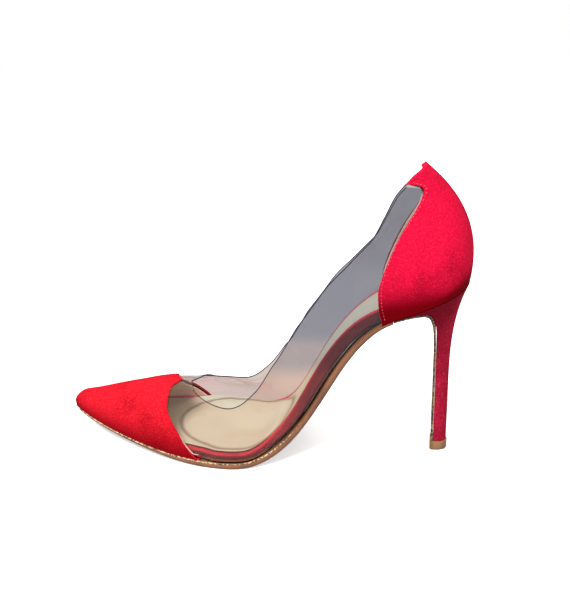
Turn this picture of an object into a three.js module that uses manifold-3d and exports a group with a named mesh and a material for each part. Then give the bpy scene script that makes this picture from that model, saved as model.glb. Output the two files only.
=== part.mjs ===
// High heel pump, left shoe: a suede toe cap and heel counter joined by a clear vamp, on a stiletto heel.
// Millimetres, +Z up. The toe points to -X and the outer (lateral) side of the foot is -Y.
// Inside this file x = 0 is the centre of the heel tip; the last lines move the origin to the base's middle.
import * as THREE from "three";
import { mergeVertices } from "three/addons/utils/BufferGeometryUtils.js";
import Module from "manifold-3d";

const wasm = await Module();
wasm.setup();

// ---------- driving dimensions ----------
const HEEL_HEIGHT = 102; // floor to the back of the heel seat
const TOE_REACH = 222; // heel tip centre forward to the toe's feather line
const BALL_REACH = 118; // heel tip centre forward to the widest line of the ball
const SEAT_BACK = 12.2; // heel tip centre back to the rear of the heel seat
const SEAT_LENGTH = 38.2; // length of the heel seat, front to back, in plan
const SEAT_DROP = 17.2; // how much lower the seat's front is than its back
const TREAD_FRONT = 3; // flat of the sole in front of the ball line
const TREAD_BACK = 8; // and behind it
const TOE_SPRING = 10; // lift of the sole under the toe tip
const BALL_HALF_WIDTH = 38.8;
const WAIST_HALF_WIDTH = 18.5;
const SEAT_HALF_WIDTH = 25.2;
const TOE_TIP_HANDLE = 7.5; // roundness of the toe in plan: longer is blunter
const TOE_SWING = 3.4; // how far the toe tip swings to the inner side

// thicknesses
const SUEDE = 0.9;
const CLEAR_SHEET = 0.8;
const STIFFENER = 0.8;
const LINING = 0.7;
const OUTSOLE_EDGE = 2.8;
const OUTSOLE_CROWN = 2.6; // extra thickness along the middle of the waist
const OUTSOLE_END = 1.2; // skived end that meets the heel
const BOARD_FRONT = 1.3;
const BOARD_WAIST = 4.8;
const RIM = 0.8; // suede strip round the insole board's edge
const SOCK = 0.7;
const PAD = 1;
const GAP = 0.3; // clearance left where pieces touch
const LINING_GAP = 0.65; // and on both sides of the curved linings

// heel and its fittings
const TOP_PIECE_HEIGHT = 5.5;
const STEM_DEPTH = 8.6; // front to back
const STEM_WIDTH = 9.4;
const HEEL_FLARE_HEIGHT = 60; // the heel widens from the stem to the seat over this height
const HEEL_FLARE_POWER = 2.8;
const BREAST_TOP = 14; // seat front back to where the lip turns down into the breast
const BREAST_CORNER = 5; // roundness of that turn
const BREAST_LEAN = 2; // how far the breast leans forward above the straight stem
const STEM_STRAIGHT = 50; // height of the straight part of the stem
const LIP_FRONT = 0.8; // heel below the seat at its front edge
const LIP_BACK = 3.4; // and where the lip meets the breast
const BREAST_FLAP = 1.2;
const TUBE_RADIUS = 2.2;
const TUBE_WALL = 0.7;
const TUBE_LENGTH = 62;
const PIN_HEAD_RADIUS = 3;
const PIN_HEAD = 1;
const SCREW_RADIUS = 1.9;
const SCREW_HEAD_RADIUS = 3.6;
const NAIL_RADIUS = 0.9;
const NAIL_HEAD_RADIUS = 1.7;
const FASTENER_HEAD = 1;
const SHANK_WIDTH = 12;
const SHANK_THICKNESS = 1.4;
const RIVET_RADIUS = 1.6;

// overlaps and margins
const LASTING_MARGIN = 8; // upper turned in under the insole
const LAP = 6; // clear sheet held under the suede pieces
const SOLE_OVERHANG = 0.8; // outsole edge beyond the upper
const RIM_LIP = 2.2; // suede strip showing on top of the insole board

// depths of the layers below the outer face of the suede
const MIDDLE_LAYER = SUEDE + GAP;
const LINING_LAYER = MIDDLE_LAYER + Math.max(CLEAR_SHEET, STIFFENER) + LINING_GAP;
const LINER_TOTAL = LINING_LAYER + LINING + LINING_GAP;
const FULL_BASE = GAP + MIDDLE_LAYER + CLEAR_SHEET + GAP; // insole board above the outsole

// ---------- curve helpers ----------
const V = (x, y, z) => new THREE.Vector3(x, y, z);
const lerp = THREE.MathUtils.lerp;
const clamp = THREE.MathUtils.clamp;
const smoothstep = THREE.MathUtils.smoothstep;

// A smooth curve through [x, y] points that never overshoots them.
function through(points) {
  const n = points.length;
  const slope = points.slice(1).map(([x, y], i) => (y - points[i][1]) / (x - points[i][0]));
  const tangent = points.map((_, i) => {
    if (i === 0) return slope[0];
    if (i === n - 1) return slope[n - 2];
    const [a, b] = [slope[i - 1], slope[i]];
    return a * b <= 0 ? 0 : (2 * a * b) / (a + b);
  });
  return (x) => {
    const value = clamp(x, points[0][0], points[n - 1][0]);
    const after = points.findIndex((p) => p[0] > value);
    const i = after < 0 ? n - 2 : clamp(after - 1, 0, n - 2);
    const step = points[i + 1][0] - points[i][0];
    const t = (value - points[i][0]) / step;
    const [t2, t3] = [t * t, t * t * t];
    return (
      points[i][1] * (2 * t3 - 3 * t2 + 1) +
      tangent[i] * step * (t3 - 2 * t2 + t) +
      points[i + 1][1] * (3 * t2 - 2 * t3) +
      tangent[i + 1] * step * (t3 - t2)
    );
  };
}

// ---------- the bottom line of the last, seen from the side ----------
const TOE_X = -TOE_REACH;
const BALL_X = -BALL_REACH;
const TREAD_START_X = BALL_X - TREAD_FRONT;
const TREAD_END_X = BALL_X + TREAD_BACK;
const SEAT_FRONT_X = SEAT_BACK - SEAT_LENGTH;
const SEAT_FRONT_Z = HEEL_HEIGHT - SEAT_DROP;
const SEAT_SLOPE = THREE.MathUtils.degToRad(27);
const BALL_HANDLE = 0.51 * (SEAT_FRONT_X - TREAD_END_X); // shapes the bend behind the ball
const ARCH_HANDLE = 0.56 * (SEAT_FRONT_X - TREAD_END_X); // shapes the arch in front of the heel

const P = (x, z) => new THREE.Vector2(x, z);
const sideLine = [
  new THREE.QuadraticBezierCurve(
    P(TOE_X - SOLE_OVERHANG, OUTSOLE_EDGE + TOE_SPRING),
    P(lerp(TOE_X, TREAD_START_X, 0.55), OUTSOLE_EDGE),
    P(TREAD_START_X, OUTSOLE_EDGE),
  ),
  new THREE.LineCurve(P(TREAD_START_X, OUTSOLE_EDGE), P(TREAD_END_X, OUTSOLE_EDGE)),
  new THREE.CubicBezierCurve(
    P(TREAD_END_X, OUTSOLE_EDGE),
    P(TREAD_END_X + BALL_HANDLE, OUTSOLE_EDGE),
    P(SEAT_FRONT_X - ARCH_HANDLE * Math.cos(SEAT_SLOPE), SEAT_FRONT_Z - ARCH_HANDLE * Math.sin(SEAT_SLOPE)),
    P(SEAT_FRONT_X, SEAT_FRONT_Z),
  ),
  new THREE.QuadraticBezierCurve(
    P(SEAT_FRONT_X, SEAT_FRONT_Z),
    P(SEAT_FRONT_X + 0.4 * SEAT_LENGTH, SEAT_FRONT_Z + 0.4 * SEAT_LENGTH * Math.tan(SEAT_SLOPE)),
    P(SEAT_BACK + SOLE_OVERHANG, HEEL_HEIGHT),
  ),
];
const sideSamples = sideLine.flatMap((curve, i) => curve.getPoints(60).slice(i ? 1 : 0));

// Height and upward normal of the bottom line at x.
function bottomAt(x) {
  const last = sideSamples.length - 2;
  const found = sideSamples.findIndex((p) => p.x > x) - 1;
  const i = x >= sideSamples[last + 1].x ? last : clamp(found, 0, last);
  const [a, b] = [sideSamples[i], sideSamples[i + 1]];
  const z = lerp(a.y, b.y, (x - a.x) / (b.x - a.x));
  const normal = V(-(b.y - a.y), 0, b.x - a.x).normalize();
  return { z, normal };
}

// ---------- the feather line, seen from above ----------
const WAIST_X = lerp(TREAD_END_X, SEAT_FRONT_X, 0.62);
const SEAT_WIDEST_X = SEAT_BACK - 21;
const outline = [
  new THREE.CubicBezierCurve(
    P(TOE_X, 0),
    P(TOE_X, TOE_TIP_HANDLE),
    P(lerp(TOE_X, BALL_X, 0.62), BALL_HALF_WIDTH),
    P(BALL_X, BALL_HALF_WIDTH),
  ),
  new THREE.CubicBezierCurve(
    P(BALL_X, BALL_HALF_WIDTH),
    P(lerp(BALL_X, WAIST_X, 0.42), BALL_HALF_WIDTH),
    P(lerp(BALL_X, WAIST_X, 0.5), WAIST_HALF_WIDTH + 1),
    P(WAIST_X, WAIST_HALF_WIDTH),
  ),
  new THREE.CubicBezierCurve(
    P(WAIST_X, WAIST_HALF_WIDTH),
    P(lerp(WAIST_X, SEAT_WIDEST_X, 0.45), WAIST_HALF_WIDTH - 0.5),
    P(lerp(WAIST_X, SEAT_WIDEST_X, 0.65), SEAT_HALF_WIDTH),
    P(SEAT_WIDEST_X, SEAT_HALF_WIDTH),
  ),
  new THREE.CubicBezierCurve(
    P(SEAT_WIDEST_X, SEAT_HALF_WIDTH),
    P(lerp(SEAT_WIDEST_X, SEAT_BACK, 0.66), SEAT_HALF_WIDTH),
    P(SEAT_BACK, 0.6 * SEAT_HALF_WIDTH),
    P(SEAT_BACK, 0),
  ),
];
const BACK = outline.length; // outline position of the heel's back; 0 is the toe tip

// The outline swings gently to the inner side at the toe and the waist.
const swing = through([
  [TOE_X, TOE_SWING],
  [BALL_X, 0],
  [WAIST_X, 1],
  [SEAT_WIDEST_X, 0],
  [SEAT_BACK, 0],
]);

function insetPoint(u, inset) {
  const k = Math.min(Math.floor(u), BACK - 1);
  const point = outline[k].getPoint(u - k);
  const along = outline[k].getTangent(u - k);
  return { x: point.x + along.y * inset, w: point.y - along.x * inset, from: point.x };
}

// Where an inset outline starts: its two sides meet further back than the toe tip.
const starts = new Map();
function startOf(inset) {
  if (inset <= 0) return 0;
  if (starts.has(inset)) return starts.get(inset);
  let [low, high] = [0, 0.5];
  for (let i = 0; i < 40; i++) {
    const middle = (low + high) / 2;
    if (insetPoint(middle, inset).w > 0) high = middle;
    else low = middle;
  }
  starts.set(inset, high);
  return high;
}

// A point of the outline at position u, moved inwards by inset; side is -1 (outer) or +1 (inner).
function outlineAt(u, side, inset = 0) {
  const start = startOf(inset);
  const { x, w, from } = insetPoint(u < 1 ? lerp(start, 1, u) : u, inset);
  const half = u === 0 || u === BACK ? 0 : w;
  return V(x, swing(from) + side * half, bottomAt(x).z);
}

// Outline position at a distance x along the shoe.
function positionAt(x) {
  let [low, high] = [0, BACK];
  for (let i = 0; i < 40; i++) {
    const middle = (low + high) / 2;
    if (insetPoint(middle, 0).x < x) low = middle;
    else high = middle;
  }
  return low;
}

// ---------- the skin of the last: ribs from the feather line up to the top line ----------
const THROAT = 0.79; // outline position where the top line leaves the ridge of the toe
const topSetback = through([
  [0, 9], [0.25, 4], [0.5, 1.5], [1, 0], [1.5, -1], [2, -6],
  [2.5, -8], [3, -15], [3.5, -20], [4, -24.7],
]);
const topHalfWidth = through([
  [THROAT, 0], [0.82, 10], [0.87, 16.5], [0.94, 21], [1, 22.5], [1.25, 23], [1.75, 23],
  [2.25, 20.5], [2.75, 19], [3, 17.5], [3.25, 14.5], [3.5, 10.5], [3.75, 5.5], [4, 0],
]);
const rise = through([
  [0, 10], [0.25, 14.5], [0.5, 23.5], [0.7, 31], [THROAT, 32], [0.9, 28], [1, 26.3], [1.25, 35],
  [1.5, 46], [1.75, 50], [2, 42], [2.25, 38], [2.5, 39.6], [2.75, 47], [3, 55], [3.5, 59], [4, 60.9],
]);
const lean = through([[0, 90], [THROAT, 90], [0.9, 55], [1.1, 34], [1.5, 14], [2, 5], [3, 7], [4, 0]]);
const sideLift = through([[THROAT, 0], [1.25, 1.2], [1.6, 3], [2.5, 3.4], [3.1, 3.7], [3.5, 2], [4, 0]]);
const noseLength = through([[0, 3], [0.25, 1.5], [0.5, 0.5], [1, 0], [3, 0], [3.5, 3.4], [4, 4.8]]);
const topSweep = through([[0, -5], [0.25, -3], [0.5, 0], [3, 0], [3.25, 4], [3.5, 11], [4, 20]]);
const bulge = through([[0, 0], [0.5, 1], [1, 1.5], [1.5, 2], [2, 3], [2.5, 4], [3, 4], [3.5, 3], [4, 0]]);

function skinPoint(u, side, h) {
  const foot = outlineAt(u, side);
  const centre = swing(foot.x) * (1 - smoothstep(u, 1, 2));
  const top = V(
    foot.x + topSetback(u),
    centre + side * (u <= THROAT ? 0 : topHalfWidth(u)),
    foot.z + rise(u) - side * sideLift(u),
  );
  const reach = foot.distanceTo(top);
  const angle = THREE.MathUtils.degToRad(lean(u));
  const low = foot.clone().add(V((u < 2 ? -1 : 1) * noseLength(u), side * bulge(u), 0.38 * reach));
  const inwards = side * Math.sin(angle) * 0.34 * reach;
  const high = top.clone().add(V(topSweep(u), inwards, -Math.cos(angle) * 0.36 * reach));
  if (u < 0.5) high.y = lerp(top.y, high.y, u / 0.5);
  if (u > 3) high.z = lerp(high.z, top.z - 0.24 * reach, u - 3);
  return new THREE.CubicBezierCurve3(foot, low, high, top).getPoint(h);
}

// The same point, set in from the suede's outer face by depth, square to the surface.
function skin(u, toSide, h, depth) {
  const step = 1e-3;
  const onRidge = h === 1 && u <= THROAT;
  const onMiddle = onRidge || u === 0 || u === BACK;
  const side = onMiddle ? 1 : toSide; // both halves share one middle line
  const [u0, u1] = [Math.max(u - step, 0), Math.min(u + step, onRidge ? THROAT : BACK)];
  const [h0, h1] = [Math.max(h - step, 0), Math.min(h + step, 1)];
  const along = skinPoint(u1, side, h).sub(skinPoint(u0, side, h));
  const up = skinPoint(u, side, h1).sub(skinPoint(u, side, h0));
  const normal = along.cross(up).multiplyScalar(-side).normalize();
  if (onMiddle) normal.setY(0).normalize();
  return skinPoint(u, side, h).addScaledVector(normal, -depth);
}

// ---------- solid helpers ----------
function geometryOf(triangles) {
  const geometry = new THREE.BufferGeometry();
  const numbers = triangles.flatMap((p) => [p.x, p.y, p.z]);
  geometry.setAttribute("position", new THREE.Float32BufferAttribute(numbers, 3));
  const merged = mergeVertices(geometry, 1e-3);
  const index = merged.index.array;
  const kept = [];
  for (let i = 0; i < index.length; i += 3) {
    const [a, b, c] = index.subarray(i, i + 3);
    if (a !== b && b !== c && c !== a) kept.push(a, b, c);
  }
  merged.setIndex(kept);
  return merged;
}

function quad(out, a, b, c, d) {
  out.push(a, b, c, a, c, d);
}

// Two matching grids of points closed into a solid; open lists the rims that another half closes.
function sheetTriangles(outer, inner, skipRim = () => false) {
  const out = [];
  const [n, m] = [outer.length - 1, outer[0].length - 1];
  for (let i = 0; i < n; i++)
    for (let j = 0; j < m; j++) {
      quad(out, outer[i][j], outer[i + 1][j], outer[i + 1][j + 1], outer[i][j + 1]);
      quad(out, inner[i][j], inner[i][j + 1], inner[i + 1][j + 1], inner[i + 1][j]);
    }
  for (let i = 0; i < n; i++) {
    quad(out, outer[i][0], inner[i][0], inner[i + 1][0], outer[i + 1][0]);
    if (!skipRim("top", i)) quad(out, outer[i][m], outer[i + 1][m], inner[i + 1][m], inner[i][m]);
  }
  for (let j = 0; j < m; j++) {
    if (!skipRim("start", j)) quad(out, outer[0][j], outer[0][j + 1], inner[0][j + 1], inner[0][j]);
    quad(out, outer[n][j], inner[n][j], inner[n][j + 1], outer[n][j + 1]);
  }
  return out;
}

// A closed loop of closed sections, such as a strip that runs right round the insole.
function ringTriangles(sections) {
  const out = [];
  const [n, m] = [sections.length, sections[0].length];
  for (let i = 0; i < n; i++) {
    const [here, after] = [sections[i], sections[(i + 1) % n]];
    for (let j = 0; j < m; j++) quad(out, here[j], after[j], after[(j + 1) % m], here[(j + 1) % m]);
  }
  return out;
}

function reversed(triangles) {
  const out = [];
  for (let i = 0; i < triangles.length; i += 3) out.push(triangles[i], triangles[i + 2], triangles[i + 1]);
  return out;
}

function flipIfInsideOut(triangles) {
  let volume = 0;
  for (let i = 0; i < triangles.length; i += 3)
    volume += triangles[i].dot(triangles[i + 1].clone().cross(triangles[i + 2]));
  return volume > 0 ? triangles : reversed(triangles);
}

function toSolid(geometry) {
  const source = geometry.clone();
  source.deleteAttribute("normal");
  source.deleteAttribute("uv");
  const merged = mergeVertices(source, 1e-4);
  return new wasm.Manifold(
    new wasm.Mesh({
      numProp: 3,
      vertProperties: new Float32Array(merged.attributes.position.array),
      triVerts: new Uint32Array(merged.index.array),
    }),
  );
}

function fromSolid(solid) {
  const mesh = solid.getMesh();
  const geometry = new THREE.BufferGeometry();
  geometry.setAttribute("position", new THREE.BufferAttribute(new Float32Array(mesh.vertProperties), 3));
  geometry.setIndex(new THREE.BufferAttribute(new Uint32Array(mesh.triVerts), 1));
  return geometry;
}

const pump = new THREE.Group();
const shoe = new THREE.Group();
pump.add(shoe);

function add(name, geometry, look) {
  const mesh = new THREE.Mesh(geometry, look);
  mesh.name = name;
  shoe.add(mesh);
  return mesh;
}

const look = (color, roughness, metalness = 0, extra = {}) =>
  new THREE.MeshStandardMaterial({ color, roughness, metalness, ...extra });
const redSuede = look(0xc8102e, 0.95);
const clearSheet = look(0xdfe4ea, 0.08, 0, { transparent: true, opacity: 0.3 });
const nudeLeather = look(0xe0cdb0, 0.5);
const soleLeather = look(0x9a6a4c, 0.45);
const fibreBoard = look(0xb79f7c, 0.9);
const moulded = look(0x2b2a2a, 0.6);
const foam = look(0xe8e2d2, 0.95);
const cork = look(0x8f6b45, 0.95);
const steel = look(0x9aa0a6, 0.35, 1);
const tipPlastic = look(0xa98558, 0.5);

// ---------- upper ----------
// Rear edge of the toe cap: outline position by height up the rib. The outer wing reaches further back.
const capEdgeBase = through([
  [0, 0.85], [0.1, 0.82], [0.25, 0.772], [0.4, 0.73], [0.55, 0.705], [0.75, 0.704], [1, 0.748],
]);
const CAP_SKEW = 0.035;
const capEdge = (h, side) => capEdgeBase(h) - side * CAP_SKEW * (1 - h);
// Front edge of the counter: it sweeps back as it rises, then hooks forward into a small tab at the top line.
const counterEdge = through([
  [0, 2.5], [0.2, 2.48], [0.4, 2.51], [0.55, 2.62], [0.65, 2.8],
  [0.72, 3.02], [0.81, 3.25], [0.88, 3.35], [0.94, 3.24], [1, 3.1],
]);

const OUTLINE_MM = [...outline, 0].slice(0, BACK).map((curve) => curve.getLength());
const lapAt = (u) => LAP / OUTLINE_MM[Math.min(Math.floor(u), BACK - 1)];

// Under the ball the clear sheet alone is turned in, so the insole sits lower there.
const capRearX = outlineAt(capEdge(0, -1), -1).x;
const STEP_START = capRearX + 1;
const STEP_END = STEP_START + 6.7 * MIDDLE_LAYER;
const stackShare = (x) =>
  1 - smoothstep(x, STEP_START, STEP_END) + smoothstep(x, TREAD_END_X + 4, TREAD_END_X + 22);
const boardBase = (x) => FULL_BASE - MIDDLE_LAYER * (1 - stackShare(x));

// The upper turned in under the insole, from the feather line towards the middle of the shoe.
function marginPoint(u, side, depth, floor) {
  const foot = skin(u, side, 0, depth);
  const middleX = clamp(foot.x, TOE_X + 14, SEAT_BACK - 16);
  const inwards = V(middleX - foot.x, swing(middleX) - foot.y, 0);
  const reach = Math.min(LASTING_MARGIN, 0.45 * inwards.length());
  const point = foot.addScaledVector(inwards.normalize(), reach);
  const bottom = bottomAt(point.x);
  point.z = bottom.z;
  return point.addScaledVector(bottom.normal, floor(point.x));
}

// Heights up a rib where every layer has its points, so that the layers stay evenly apart.
const ROWS = [0, 0.15, 0.3, 0.45, 0.6, 0.72, 0.81, 0.88, 0.94, 0.97, 1];

// One column of points up a rib, lifted clear of the outsole, with or without the turned margin.
function column(uAt, side, depth, withMargin, floor) {
  const points = ROWS.map((h) => {
    const point = skin(uAt(h), side, h, depth);
    const bottom = bottomAt(clamp(point.x, TOE_X, SEAT_BACK));
    const short = floor(point.x) - (point.z - bottom.z) * bottom.normal.z;
    if (short > 0) point.addScaledVector(bottom.normal, short);
    return point;
  });
  return withMargin ? [marginPoint(uAt(0), side, depth, floor), ...points] : points;
}

function toePiece(edge, thickness, depth, columns, withMargin, floor) {
  const grid = (extra) => {
    const level = () => floor + (withMargin ? extra : 0);
    return Array.from({ length: columns + 1 }, (_, i) => {
      const share = (i / columns) ** 1.35;
      const near = column((h) => share * edge(h, -1), -1, depth + extra, withMargin, level);
      const far = column((h) => share * edge(h, 1), 1, depth + extra, withMargin, level);
      return [...near, ...far.reverse().slice(1)];
    });
  };
  const sheet = sheetTriangles(grid(0), grid(thickness), (rim) => rim === "start");
  return geometryOf(flipIfInsideOut(sheet));
}

function counterPiece(edge, thickness, depth, columns, withMargin, floor) {
  const grid = (extra) => {
    const level = () => floor + (withMargin ? extra : 0);
    const sideColumn = (i, side) =>
      column((h) => lerp(edge(h), BACK, i / columns), side, depth + extra, withMargin, level);
    const near = Array.from({ length: columns + 1 }, (_, i) => sideColumn(i, -1));
    const far = Array.from({ length: columns + 1 }, (_, i) => sideColumn(i, 1));
    return [...near, ...far.reverse().slice(1)];
  };
  return geometryOf(flipIfInsideOut(sheetTriangles(grid(0), grid(thickness))));
}

// The clear vamp: two side panels in one piece, joined by a narrow bridge across the throat.
function clearVamp() {
  const bridge = 4;
  const sides = 20;
  const rearEdge = (h) => counterEdge(h) + lapAt(2.5) * (h > 0.8 ? lerp(1, 0.35, (h - 0.8) / 0.2) : 1);
  const half = (side) => {
    const uAt = (i) => (h) => {
      const front = capEdge(h, side) - lapAt(0);
      return i <= bridge ? lerp(front, THROAT, i / bridge) : lerp(THROAT, rearEdge(h), (i - bridge) / sides);
    };
    const grid = (extra) =>
      Array.from({ length: bridge + sides + 1 }, (_, i) =>
        column(uAt(i), side, MIDDLE_LAYER + extra, true, (x) => GAP + MIDDLE_LAYER * stackShare(x) + extra));
    return sheetTriangles(grid(0), grid(CLEAR_SHEET), (rim, i) => rim === "top" && i < bridge);
  };
  return geometryOf(flipIfInsideOut([...half(-1), ...reversed(half(1))]));
}

add("toe_cap", toePiece(capEdge, SUEDE, 0, 15, true, GAP), redSuede);
add("clear_vamp", clearVamp(), clearSheet);
add("counter_cover", counterPiece(counterEdge, SUEDE, 0, 13, true, GAP), redSuede);

// Inside layers stand on the turned margin of the suede, in front of and behind the clear sheet.
const INNER_FLOOR = FULL_BASE;
const puffEdge = (h, side) => capEdge(h, side) - 1.6 * lapAt(0);
add("toe_puff", toePiece(puffEdge, STIFFENER, MIDDLE_LAYER, 12, false, INNER_FLOOR), moulded);
const toeLiningEdge = (h, side) => capEdge(h, side) - 0.01;
add("toe_lining", toePiece(toeLiningEdge, LINING, LINING_LAYER, 15, false, INNER_FLOOR), nudeLeather);
const stiffenerLap = (h) => 1.9 * lapAt(2.5) * (h > 0.8 ? lerp(1, 0.3, (h - 0.8) / 0.2) : 1);
const stiffenerEdge = (h) => counterEdge(h) + stiffenerLap(h);
add("heel_stiffener", counterPiece(stiffenerEdge, STIFFENER, MIDDLE_LAYER, 11, false, INNER_FLOOR), moulded);
add("counter_lining", counterPiece(counterEdge, LINING, LINING_LAYER, 13, false, INNER_FLOOR), nudeLeather);

// ---------- insole and outsole ----------
const spread = (count, power = 1) => Array.from({ length: count + 1 }, (_, i) => (i / count) ** power);
const TIP_SPACING = 1.6;
// Outline positions of the cross sections, closer together at the toe and where the board steps down.
const stepStations = spread(2).map((t) => positionAt(lerp(STEP_START, STEP_END, t)));
const FULL_LENGTH = [
  ...spread(12, TIP_SPACING),
  ...stepStations,
  ...spread(28).slice(1).map((t) => lerp(1, BACK, t)),
].sort((a, b) => a - b);

// A flat layer that follows the bottom line: from low to high above it, inset from the feather line.
function layer(stations, inset, low, high, across = 4) {
  const grid = (height) =>
    stations.map((u) => {
      const near = outlineAt(u, -1, inset);
      const far = outlineAt(u, 1, inset);
      const bottom = bottomAt(near.x);
      return Array.from({ length: across + 1 }, (_, j) => {
        const s = (2 * j) / across - 1;
        const point = V(near.x, lerp(near.y, far.y, j / across), bottom.z);
        return point.addScaledVector(bottom.normal, height(point.x, point.y, s));
      });
    });
  return geometryOf(flipIfInsideOut(sheetTriangles(grid(high), grid(low))));
}

const towardsSeat = (x) => smoothstep(x, WAIST_X + 10, SEAT_FRONT_X + 12);
const waistShare = (x) => smoothstep(x, TREAD_END_X, WAIST_X) * (1 - 0.45 * towardsSeat(x));
const boardTop = (x) => boardBase(x) + lerp(BOARD_FRONT, BOARD_WAIST, waistShare(x));
const HEEL_FRONT = positionAt(SEAT_FRONT_X); // outline position of the heel's front corners
const SOLE_SETBACK = GAP + OUTSOLE_END * Math.sin(SEAT_SLOPE);
const SOLE_END = positionAt(SEAT_FRONT_X - SOLE_SETBACK); // where the outsole stops short of the heel
const OUTSOLE_STATIONS = [...FULL_LENGTH.filter((u) => u < SOLE_END - 0.02), SOLE_END];
const outsoleThickness = (x, s) => {
  const full = OUTSOLE_EDGE + OUTSOLE_CROWN * waistShare(x) * (1 - s * s);
  return lerp(full, OUTSOLE_END, smoothstep(x, SEAT_FRONT_X - 24, SEAT_FRONT_X - 2));
};
add(
  "outsole",
  layer(OUTSOLE_STATIONS, -SOLE_OVERHANG, (x, y, s) => -outsoleThickness(x, s), () => 0, 6),
  soleLeather,
);

// The board is inset by the lined walls at the toe and heel, and by its own suede strip.
const RIM_INSET = LINER_TOTAL;
const BOARD_INSET = RIM_INSET + RIM + GAP;
const rimRound = (u, side) => {
  const outer = (inset, height) => {
    const point = outlineAt(u, side, inset);
    const bottom = bottomAt(point.x);
    return point.addScaledVector(bottom.normal, height(point.x));
  };
  const top = (x) => boardTop(x) + GAP + RIM;
  return [
    outer(RIM_INSET, boardBase),
    outer(RIM_INSET, top),
    outer(RIM_INSET + RIM + GAP + RIM_LIP, top),
    outer(RIM_INSET + RIM + GAP + RIM_LIP, (x) => boardTop(x) + GAP),
    outer(RIM_INSET + RIM, (x) => boardTop(x) + GAP),
    outer(RIM_INSET + RIM, boardBase),
  ];
};
const nearRound = FULL_LENGTH.map((u) => rimRound(u, -1));
const farRound = FULL_LENGTH.slice(1, -1).reverse().map((u) => rimRound(u, 1));
add("insole_rim", geometryOf(flipIfInsideOut(ringTriangles([...nearRound, ...farRound]))), redSuede);

const board = layer(FULL_LENGTH, BOARD_INSET, boardBase, boardTop);

// Forefoot cushion and the sock that rises over it; the lift clears the step in the board under the ball.
const PAD_LIFT = MIDDLE_LAYER / 2;
const PAD_CENTRE_X = BALL_X - 6;
const PAD_HALF_LENGTH = 28;
const PAD_HALF_WIDTH = 28;
const PAD_BORDER = 6; // the sock starts to fall this far outside the cushion
const PAD_CENTRE_Y = swing(PAD_CENTRE_X);
const padTriangles = () => {
  const [along, across] = [24, 6];
  const grid = (height) =>
    Array.from({ length: along + 1 }, (_, i) => {
      const turn = Math.PI * clamp(i / along, 0.02, 0.98);
      const x = PAD_CENTRE_X - PAD_HALF_LENGTH * Math.cos(turn);
      const bottom = bottomAt(x);
      return Array.from({ length: across + 1 }, (_, j) => {
        const y = PAD_CENTRE_Y + PAD_HALF_WIDTH * Math.sin(turn) * ((2 * j) / across - 1);
        return V(x, y, bottom.z).addScaledVector(bottom.normal, boardTop(x) + PAD_LIFT + height);
      });
    });
  return flipIfInsideOut(sheetTriangles(grid(PAD), grid(0)));
};
const padShare = (x, y) => {
  const along = (x - PAD_CENTRE_X) / (PAD_HALF_LENGTH + PAD_BORDER);
  const r = Math.hypot(along, (y - PAD_CENTRE_Y) / (PAD_HALF_WIDTH + PAD_BORDER));
  return 1 - smoothstep(r, 1, 1.25);
};
const sockBase = (x, y) => boardTop(x) + GAP + (PAD + PAD_LIFT) * padShare(x, y);
const sockTop = (x, y) => sockBase(x, y) + SOCK;
const SOCK_INSET = RIM_INSET + RIM + RIM_LIP + 2 * GAP;
add("sock_lining", layer(FULL_LENGTH, SOCK_INSET, sockBase, sockTop, 10), nudeLeather);
add("forefoot_pad", geometryOf(padTriangles()), foam);

// Cork filler levels the forefoot between the turned margins.
const FILLER_INSET = LASTING_MARGIN + MIDDLE_LAYER + CLEAR_SHEET + 1;
const fillerStations = spread(9).map((t) => lerp(0.42, 1.12, t));
add("sole_filler", layer(fillerStations, FILLER_INSET, () => GAP, (x) => boardBase(x) - GAP, 2), cork);

// Steel shank from behind the ball into the heel seat.
const shankCurve = (height) => (x) => {
  const bottom = bottomAt(x);
  return V(x, 0, bottom.z).addScaledVector(bottom.normal, height);
};
const SHANK_BASE = (FULL_BASE - SHANK_THICKNESS) / 2;
const SHANK_START = TREAD_END_X + 23;
const SHANK_END = SEAT_FRONT_X + 14;
const shankTriangles = () => {
  const steps = 14;
  const places = spread(steps).map((t) => lerp(SHANK_START, SHANK_END, t));
  const at = (height, y) => places.map((x) => shankCurve(height)(x).setY(y));
  const rows = (height) => {
    const near = at(height, -SHANK_WIDTH / 2);
    const far = at(height, SHANK_WIDTH / 2);
    return near.map((p, i) => [p, far[i]]);
  };
  return flipIfInsideOut(sheetTriangles(rows(SHANK_BASE + SHANK_THICKNESS), rows(SHANK_BASE)));
};
let shank = toSolid(geometryOf(shankTriangles()));

// ---------- heel ----------
const stemBackX = STEM_DEPTH / 2 - 0.6;
const stemFrontX = stemBackX - STEM_DEPTH;
const seatZ = (x) => bottomAt(x).z - GAP;

// Section of the heel at a height below the seat; inset thins it for the core inside its cover.
function heelSection(level, inset, around) {
  const seat = [];
  for (let i = 0; i <= around; i++) seat.push([lerp(HEEL_FRONT, BACK, i / around), -1]);
  for (let i = around - 1; i >= 0; i--) seat.push([lerp(HEEL_FRONT, BACK, i / around), 1]);
  return seat.map(([u, side], i) => {
    const at = outlineAt(u, side, inset);
    const angle = (Math.PI * i) / (seat.length - 1);
    const stem = V(
      lerp(stemFrontX, stemBackX - inset, Math.sin(angle) ** 0.75),
      -Math.cos(angle) * (STEM_WIDTH / 2 - inset) * (1 + 0.18 * Math.sin(angle) * Math.abs(Math.cos(angle))),
      0,
    );
    const top = seatZ(at.x);
    const z = lerp(top, TOP_PIECE_HEIGHT + GAP, level);
    const flare = clamp(1 - (top - z) / HEEL_FLARE_HEIGHT, 0, 1) ** HEEL_FLARE_POWER;
    return V(lerp(stem.x, at.x, flare), lerp(stem.y, at.y, flare), z);
  });
}

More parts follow.
